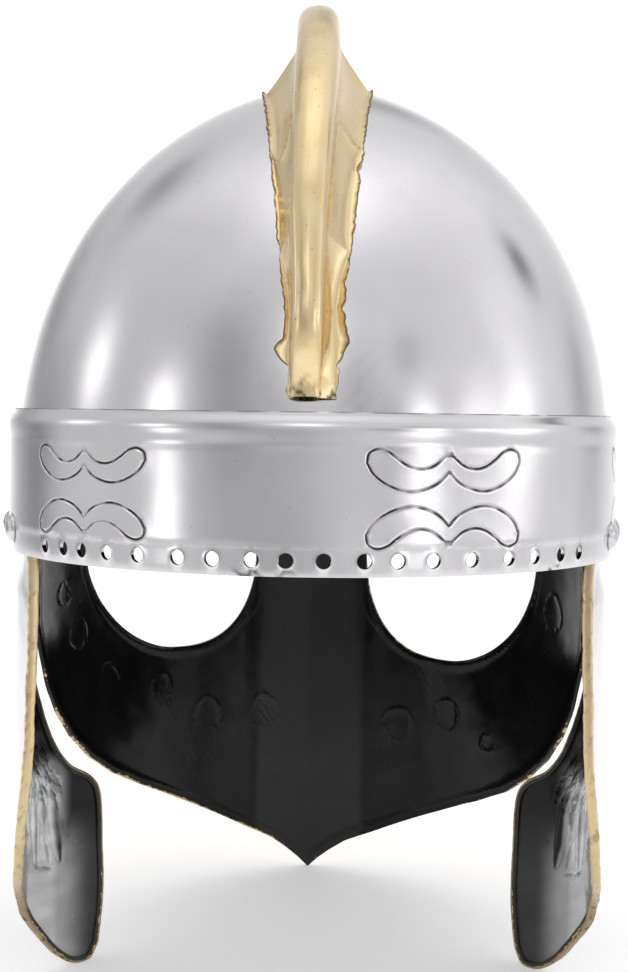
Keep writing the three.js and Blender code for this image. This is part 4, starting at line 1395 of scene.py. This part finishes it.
def mask_relief(place, flat, to_eye, to_edge):
    """How far the inner face stands in from its plain place."""
    cheeks = smooth(np.abs(place[:, 0]), 21, 25)
    hammer = (0.07 * rumple(flat, 16, 41) + 0.02 * rumple(flat, 5, 42)) * (0.15 + 0.85 * cheeks)
    rim = 0.75 * np.exp(-((to_eye - 1.8) / 1.3) ** 2) + 0.6 * np.exp(-((to_edge - 2) / 1.4) ** 2)
    return hammer + rim + 0.25 * cheeks + ring_marks(flat) + stroke_marks(flat)


# %% [markdown]
# ## Bending the mask
#
# One formula of angle, height and depth gives both faces. The inner one takes the whole relief and the
# outer one a part of it, because thin brass that is struck on one side shows it more softly on the other.
# It could be sculpted on both sides, but then the wall would change its thickness from place to place.

# %% The mask
MASK_SPACING = 1.45       # millimetres between the corners of its plain parts


def inside_blank(points, outline, eyes):
    """The points that lie on the blank, clear of its edges."""
    points = points[inside_loop(points, outline) & (away_from(points, outline, 3) > 0.9)]
    for eye in eyes:
        points = points[~inside_loop(points, eye) & (away_from(points, eye, 3) > 0.9)]
    return points


def mask_blank(outline, eyes):
    """The blank's flat places and triangles, finer where a ring is punched."""
    across = np.arange(-MASK_SIDE * BLANK_RADIUS + 0.8, MASK_SIDE * BLANK_RADIUS, MASK_SPACING)
    up = np.arange(-148, MASK_TOP_Z, MASK_SPACING)
    grid = np.stack(np.meshgrid(across, up, indexing="ij"), -1).reshape(-1, 2)
    grid = inside_blank(grid, outline, eyes)
    step = np.arange(-9, 9, 0.62)
    worked = np.stack(np.meshgrid(step, step), -1).reshape(-1, 2)
    worked = worked[np.hypot(*worked.T) < 8.6]
    fine = np.concatenate([on_blank(x, z) + worked for x, z, *_ in RINGS])
    fine = thin_out(inside_blank(fine, outline, eyes), 0.5)
    grid = grid[away_from(grid, fine, 3) > 0.7]
    return cut_blank([outline, *eyes], np.concatenate([grid, fine]))


def build_mask():
    outline = mask_outline()
    eyes = [eye_loop(side) for side in (-1, 1)]
    flat, triangles = mask_blank(outline, eyes)
    angle, z = flat[:, 0] / BLANK_RADIUS, flat[:, 1]
    open_edge = outline[outline[:, 1] < MASK_TOP_Z - 1]
    to_eye = np.minimum(*(away_from(flat, eye, 8) for eye in eyes))
    to_edge = away_from(flat, open_edge, 8)
    plain = mask_bend(angle, z, np.zeros(len(z)))
    lifted = mask_relief(plain, flat, to_eye, to_edge)
    outer = mask_bend(angle, z, lifted * 0.6)
    inner = mask_bend(angle, z, MASK_WALL + lifted)
    mesh, first, kinds = thick_sheet("painted mask", outer, inner, triangles[:, ::-1])
    reach = np.minimum(to_eye, to_edge)
    rubbed_and_sheen = 0.44 + 0.2 * rumple(flat, 20, 44) + 0.32 * smooth(-flat[:, 0], 4, 30) * smooth(-z, 60, 100)
    worn = (rubbed_and_sheen * np.exp(-(reach / 1.1) ** 2) + 0.12 * np.exp(-((reach - 2) / 1.2) ** 2))[first]
    store(mesh, "worn", np.r_[worn, worn])
    dulled = 0.03 * (1 - smooth(np.abs(plain[:, 0]), 21, 24))[first]
    store(mesh, "rubbed_and_sheen", np.r_[dulled, dulled])
    store(mesh, "grimed_and_shaded", np.zeros(2 * len(first)))
    dress(mesh, kinds, BRASS, PAINT_ON_BRASS, PAINT_ON_BRASS)
    return mesh


place_piece("painted_mask", build_mask(), ["face_mask"])

# %% [markdown]
# ## Cheek plates
#
# Each plate is a steel sheet that hangs from two rivets at the band, polished outside and painted black
# inside. Its outline is three smooth curves and a straight top. A patch can be spanned between four edges
# (a Coons patch), which gives an even grid that follows the outline, fine enough to hold the worked
# relief.

# %% Sizes of the cheek plates
PLATE_WALL = 1.3
PLATE_TOP_Z = 22
PLATE_REAR = [(-47.5, PLATE_TOP_Z), (-47.5, 0), (-47.5, -40), (-46.6, -78), (-44.5, -98)]
PLATE_FOOT = [
    (-44.5, -98), (-39, -108.5), (-25, -118), (-10, -127), (3, -141), (12, -152.5), (17.5, -157),
    (21.5, -157), (24, -151.5),
]
PLATE_FRONT = [
    (5.2, PLATE_TOP_Z), (5.2, 0), (4.6, -35), (5.2, -55), (9.5, -73), (15.5, -83.5), (21.4, -88.5),
    (23.8, -93), (25, -115), (25.2, -135), (24, -151.5),
]
PLATE_BEND_START, PLATE_BEND_AMOUNT, PLATE_BEND_POWER = -5, 0.137, 1.5
PLATE_LENGTH = 141.0
PLATE_EDGES = (PLATE_REAR, PLATE_FOOT, PLATE_FRONT)
REAR_LINE, FOOT_LINE, FRONT_LINE = (curve_through(points) for points in PLATE_EDGES)


def plate_face(y, z):
    """How far out a plate's outer face stands at a place along and up."""
    half_width = tucked_half_width(z) - 0.2 + 2 * smooth(-z, 2, 16) - 1.4 * smooth(-z, 40, 90)
    start = TUCK_HALF_WIDTH + LONGER
    half_length = start + (PLATE_LENGTH - start) * smooth(-z, 20, 110)
    bend = PLATE_BEND_AMOUNT * np.maximum(0, y - PLATE_BEND_START) ** PLATE_BEND_POWER
    tuck = 2.2 * smooth(-y, 15, 47) * smooth(-z, 0, 15) * (1 - smooth(-z, 60, 100))
    return half_width * np.sqrt(1 - (y / half_length) ** 2) - bend * smooth(-z, 25, 72) - tuck


def plate_place(flat, depth):
    """Places on the wearer's right-hand plate, so far in from its outer face, and the way out there."""
    y, z = flat[:, 0], flat[:, 1]
    slope_y = plate_face(y + 0.5, z) - plate_face(y - 0.5, z)
    slope_z = plate_face(y, z + 0.5) - plate_face(y, z - 0.5)
    normal = np.stack([np.ones_like(y), -slope_y, -slope_z], 1)
    normal /= np.linalg.norm(normal, axis=1, keepdims=True)
    return np.stack([plate_face(y, z), y, z], 1) - normal * np.asarray(depth).reshape(-1, 1), normal


def plate_patch(u, v):
    """Flat places spanned by the plate's four edges, u from rear to front and v from top to foot."""
    rear, front, foot = along(REAR_LINE, v), along(FRONT_LINE, v), along(FOOT_LINE, u)
    a, b, c, d = REAR_LINE[0], FRONT_LINE[0], REAR_LINE[-1], FRONT_LINE[-1]
    u, v = u[:, None], v[:, None]
    top = a + (b - a) * u
    corners = (a + (b - a) * u) * (1 - v) + (c + (d - c) * u) * v
    return rear + (front - rear) * u + top + (foot - top) * v - corners


# %% [markdown]
# ## Relief of the cheek plates
#
# The plates were chased from one side with plain leaf shapes and rows of short slanting strokes.
# Sculpting would suit one plate, but a leaf that is defined once, by its two ends, its width and its
# depth, can be used for every mark on both.

# %% The worked relief of the plates
# Long hollows as leaves on a stem: start and end along and up, half-width and depth.
LEAVES = [
    (9.6, -92, 12.4, -118, 1.5, 1.0), (5.2, -94, 6.2, -103, 1.3, 0.8), (1.6, -90, 2.6, -118, 1.0, 0.8),
    (5.6, -107, 8.2, -118, 0.8, 0.6), (-2.4, -92, -1.6, -104, 0.9, 0.6), (16.4, -104, 15.2, -110, 0.5, 0.5),
    (3.0, -119, 9.8, -121, 0.8, 0.5),
]
# Rows of short slanting strokes: height of their tops, first and last place along, length and depth.
STROKE_ROWS = [(-71, -3, 7, 8.0, 0.55), (-78, -2, 10, 10.0, 0.65), (-87, 1, 10, 6.0, 0.5)]


def leaf_hollow(flat, start_y, start_z, end_y, end_z, half_width, depth):
    start, end = np.array([start_y, start_z], float), np.array([end_y, end_z], float)
    way = end - start
    share = np.clip((flat - start) @ way / (way @ way), 0, 1)
    gap = np.hypot(*(flat - (start + share[:, None] * way)).T)
    width = half_width * (0.25 + 0.75 * np.sin(np.pi * np.clip(share, 0.02, 0.98)) ** 0.7)
    raised = 0.35 * np.exp(-((gap - width * 1.5) / (width * 0.5)) ** 2)
    return depth * (np.exp(-(gap / width) ** 2) - raised)


def plate_relief(flat, seed):
    height = 0.14 * rumple(flat, 11, seed) + 0.04 * rumple(flat, 4.2, seed + 1)
    for leaf in LEAVES:
        height = height + leaf_hollow(flat, *leaf)
    for row, (top, first, last, length, depth) in enumerate(STROKE_ROWS):
        for k, y in enumerate(np.arange(first, last, 1.6)):
            start_z = top - 1.6 * math.sin(k * 1.7 + row + seed) - 0.5 * (y - first)
            end_z = start_z - length * (1 + 0.3 * math.sin(k * 2.3 + seed))
            height = height + leaf_hollow(flat, y, start_z, y + length * 0.4, end_z, 0.5, depth)
    return height


# %% [markdown]
# ## Shaping the cheek plates
#
# Both plates are the same patch, mirrored, but each has its own rumple, so they aren't twins. A Mirror
# modifier could make the second plate and would copy every mark. Mirroring turns a shape inside out, so
# the triangles of the mirrored plate are turned round too.

# %% Cheek plates
PLATE_ACROSS = 112
PLATE_DOWN = 220


def build_plate(side, seed):
    across = np.interp(np.linspace(0, 1, PLATE_ACROSS + 1), [0, 0.28, 0.93, 1], [0, 0.55, 0.92, 1])
    u, v = np.meshgrid(across, np.linspace(0, 1, PLATE_DOWN + 1))
    flat = plate_patch(u.ravel(), v.ravel())
    border = np.concatenate([REAR_LINE, FOOT_LINE, FRONT_LINE])
    inset = smooth(away_from(flat, spread_along(border, 0.5), 12), 2.6, 5)
    height = plate_relief(flat, seed) * inset
    outer, _ = plate_place(flat, height * 0.5)
    inner, _ = plate_place(flat, PLATE_WALL + height)
    flip = np.array([side, 1, 1])
    patch = np.arange(len(flat)).reshape(PLATE_DOWN + 1, PLATE_ACROSS + 1)
    a, b, c, d = patch[:-1, :-1], patch[1:, :-1], patch[1:, 1:], patch[:-1, 1:]
    quads = np.stack([a, b, c, d], -1).reshape(-1, 4)
    triangles = np.concatenate([quads[:, [0, 1, 2]], quads[:, [0, 2, 3]]])
    if side < 0:
        triangles = triangles[:, ::-1]
    mesh, first, kinds = thick_sheet("cheek plate", outer * flip, inner * flip, triangles)
    worn = (0.25 * np.exp(-((away_from(flat, spread_along(border, 0.5), 12) - 2.6) / 0.7) ** 2))[first]
    store(mesh, "worn", np.r_[worn, worn])
    # A grey sheen is painted on across the middle of each plate and along its foot, kept out of the relief's
    # hollows. It stands for the reflection of the bright floor that the black paint shows at a glancing
    # angle.
    y, z = flat.T
    reach = 17 if side < 0 else 13
    middle = (1 - smooth(y, reach - 8, reach)) * smooth(-z, 76, 88)
    foot = 0.7 * (1 - 0.9 * smooth(y, reach - 5, reach + 6)) * smooth(-z, 98, 122)
    cloudy = 0.9 + 0.12 * rumple(flat, 9, seed + 3)
    hollows = 0.7 * np.clip(np.abs(plate_relief(flat, seed)) * inset - 0.2, 0, 1)
    rubbed_and_sheen = np.clip(np.maximum(middle, foot) * cloudy - hollows, 0, 1)[first]
    store(mesh, "rubbed_and_sheen", np.r_[rubbed_and_sheen, rubbed_and_sheen])
    store(mesh, "grimed_and_shaded", np.zeros(2 * len(first)))
    dress(mesh, kinds, STEEL, PAINT_ON_STEEL, STEEL)
    return mesh


for label, side in (("left", -1), ("right", 1)):
    plate = build_plate(side, 60 + side)
    place_piece(f"worked_cheek_plate_{label}", plate, [f"cheek_plate_{label}"])

# %% [markdown]
# ## Edging of the cheek plates
#
# A strip of brass is folded over each plate's edge and hammered down, so it follows the outline as a
# channel with soft corners. A curve with a bevel profile would do for a round wire, but a channel must
# keep facing the sheet it grips, so its section is set square to the plate at every millimetre of the
# way.

# %% The edging's section and its way
EDGING_WALL, EDGING_LEG, EDGING_SLACK = 0.65, 1.5, 0.3
EDGING_PAINTED_FROM = 0.42   # from this share of its length on, its inner leg is painted over


def edging_route():
    """Flat places down the rear edge, along the foot and up the front edge."""
    parts = [
        along(REAR_LINE, np.linspace(2 / 13, 1, 130)),
        along(FOOT_LINE, np.linspace(0, 1, 130))[1:],
        along(FRONT_LINE, np.linspace(1, 1 / 13, 170))[1:],
    ]
    return spread_along(np.concatenate(parts), 0.95)


def edging_section():
    """The folded channel: away from the plate's edge, and out from its outer face."""
    outside = EDGING_SLACK + EDGING_WALL
    inside = PLATE_WALL + EDGING_SLACK
    middle, half = (outside - inside - EDGING_WALL) / 2, (outside + inside + EDGING_WALL) / 2
    turn = np.linspace(math.pi / 2, -math.pi / 2, 11)
    bulge = EDGING_SLACK + EDGING_WALL * 0.9 * np.cos(turn) ** 0.7
    nose = np.stack([bulge, middle + half * np.sin(turn)], 1)
    legs = np.linspace(-EDGING_LEG, EDGING_SLACK - 0.4, 5)
    upper = np.stack([legs, np.full(5, outside)], 1)
    lower = np.stack([legs[::-1], np.full(5, -inside - EDGING_WALL)], 1)
    leg, slack = EDGING_LEG, EDGING_SLACK
    hidden = [(-leg, -inside), (slack, -inside), (slack, slack), (-leg, slack)]
    return np.concatenate([upper, nose, lower, hidden])


# %% [markdown]
# ## Laying the edging
#
# At each place of the way round, the section needs three directions: ahead along the edge, out of the
# plate, and away from its middle. A curve's own twist could give them, but it may turn at the corners.
# The plate's own surface keeps the channel facing it all the way.

# %% Edging
EDGING_DENTS = 0.13


def edging_places(route, section, seed):
    """The section set square to the plate at each place of the route, with a few dents."""
    here, out = plate_place(route, np.zeros(len(route)))
    ahead = np.gradient(here, axis=0)
    ahead /= np.linalg.norm(ahead, axis=1, keepdims=True)
    away = np.cross(ahead, out)
    away /= np.linalg.norm(away, axis=1, keepdims=True)
    places = here[:, None] + section[None, :, :1] * away[:, None] + section[None, :, 1:] * out[:, None]
    dents = rumple(places.reshape(-1, 3), 5, seed).reshape(places.shape[:2])
    shown = np.r_[np.ones(len(section) - 4), np.zeros(4)]
    return places + out[:, None] * (EDGING_DENTS * dents * shown * np.sign(section[:, 1]))[..., None]


def build_edging(side, seed):
    section = edging_section()
    places = edging_places(edging_route(), section, seed)
    places = places * (side, 1, 1)
    count, size = places.shape[:2]
    mesh = bpy.data.meshes.new("brass edging")
    ring = np.arange(count * size).reshape(count, size)
    a, b = ring[:-1], ring[1:]
    quads = np.stack([a, np.roll(a, -1, 1), np.roll(b, -1, 1), b], -1).reshape(-1, 4)
    faces = quads.tolist() + [ring[0, ::-1].tolist(), ring[-1].tolist()]
    if side < 0:
        faces = [face[::-1] for face in faces]
    mesh.from_pydata(places.reshape(-1, 3).tolist(), [], faces)
    speck = rumple(places.reshape(-1, 3), 3, seed + 5).reshape(count, size)
    share = np.linspace(0, 1, count)[:, None]
    browned = 0.22 + 0.42 * smooth(share, 0.30, 0.42) + 0.3 * smooth(speck, 0.4, 1.2)
    store(mesh, "grimed_and_shaded", np.clip(browned * np.ones_like(speck), 0, 1).ravel())
    mesh.materials.append(BRASS)
    mesh.materials.append(PAINT_ON_BRASS)
    painted = (section[:, 1] < -EDGING_WALL) & (section[:, 0] < EDGING_SLACK) & (np.arange(size) < size - 4)
    both = painted & np.roll(painted, -1)
    low = np.arange(count - 1) > EDGING_PAINTED_FROM * count
    paint = np.r_[(low[:, None] & both[None, :]).ravel(), False, False]
    mesh.polygons.foreach_set("material_index", paint.astype(np.int32))
    close = np.exp(-((section[:, 0] - EDGING_SLACK) / 1.2) ** 2)
    at_foot = 0.42 + 0.26 * smooth(share, 0.40, 0.46) * (1 - smooth(share, 0.58, 0.66))
    store(mesh, "worn", (close[None, :] * at_foot + 0.12 * speck).ravel())
    # A faint painted grey sheen over the whole strip, so that its painted leg matches the sheen on the
    # plates.
    store(mesh, "rubbed_and_sheen", np.full(count * size, 0.05))
    return mesh


for label, side in (("left", -1), ("right", 1)):
    edging = build_edging(side, 80 + side)
    place_piece(f"folded_edging_{label}", edging, [f"cheek_edging_{label}"])
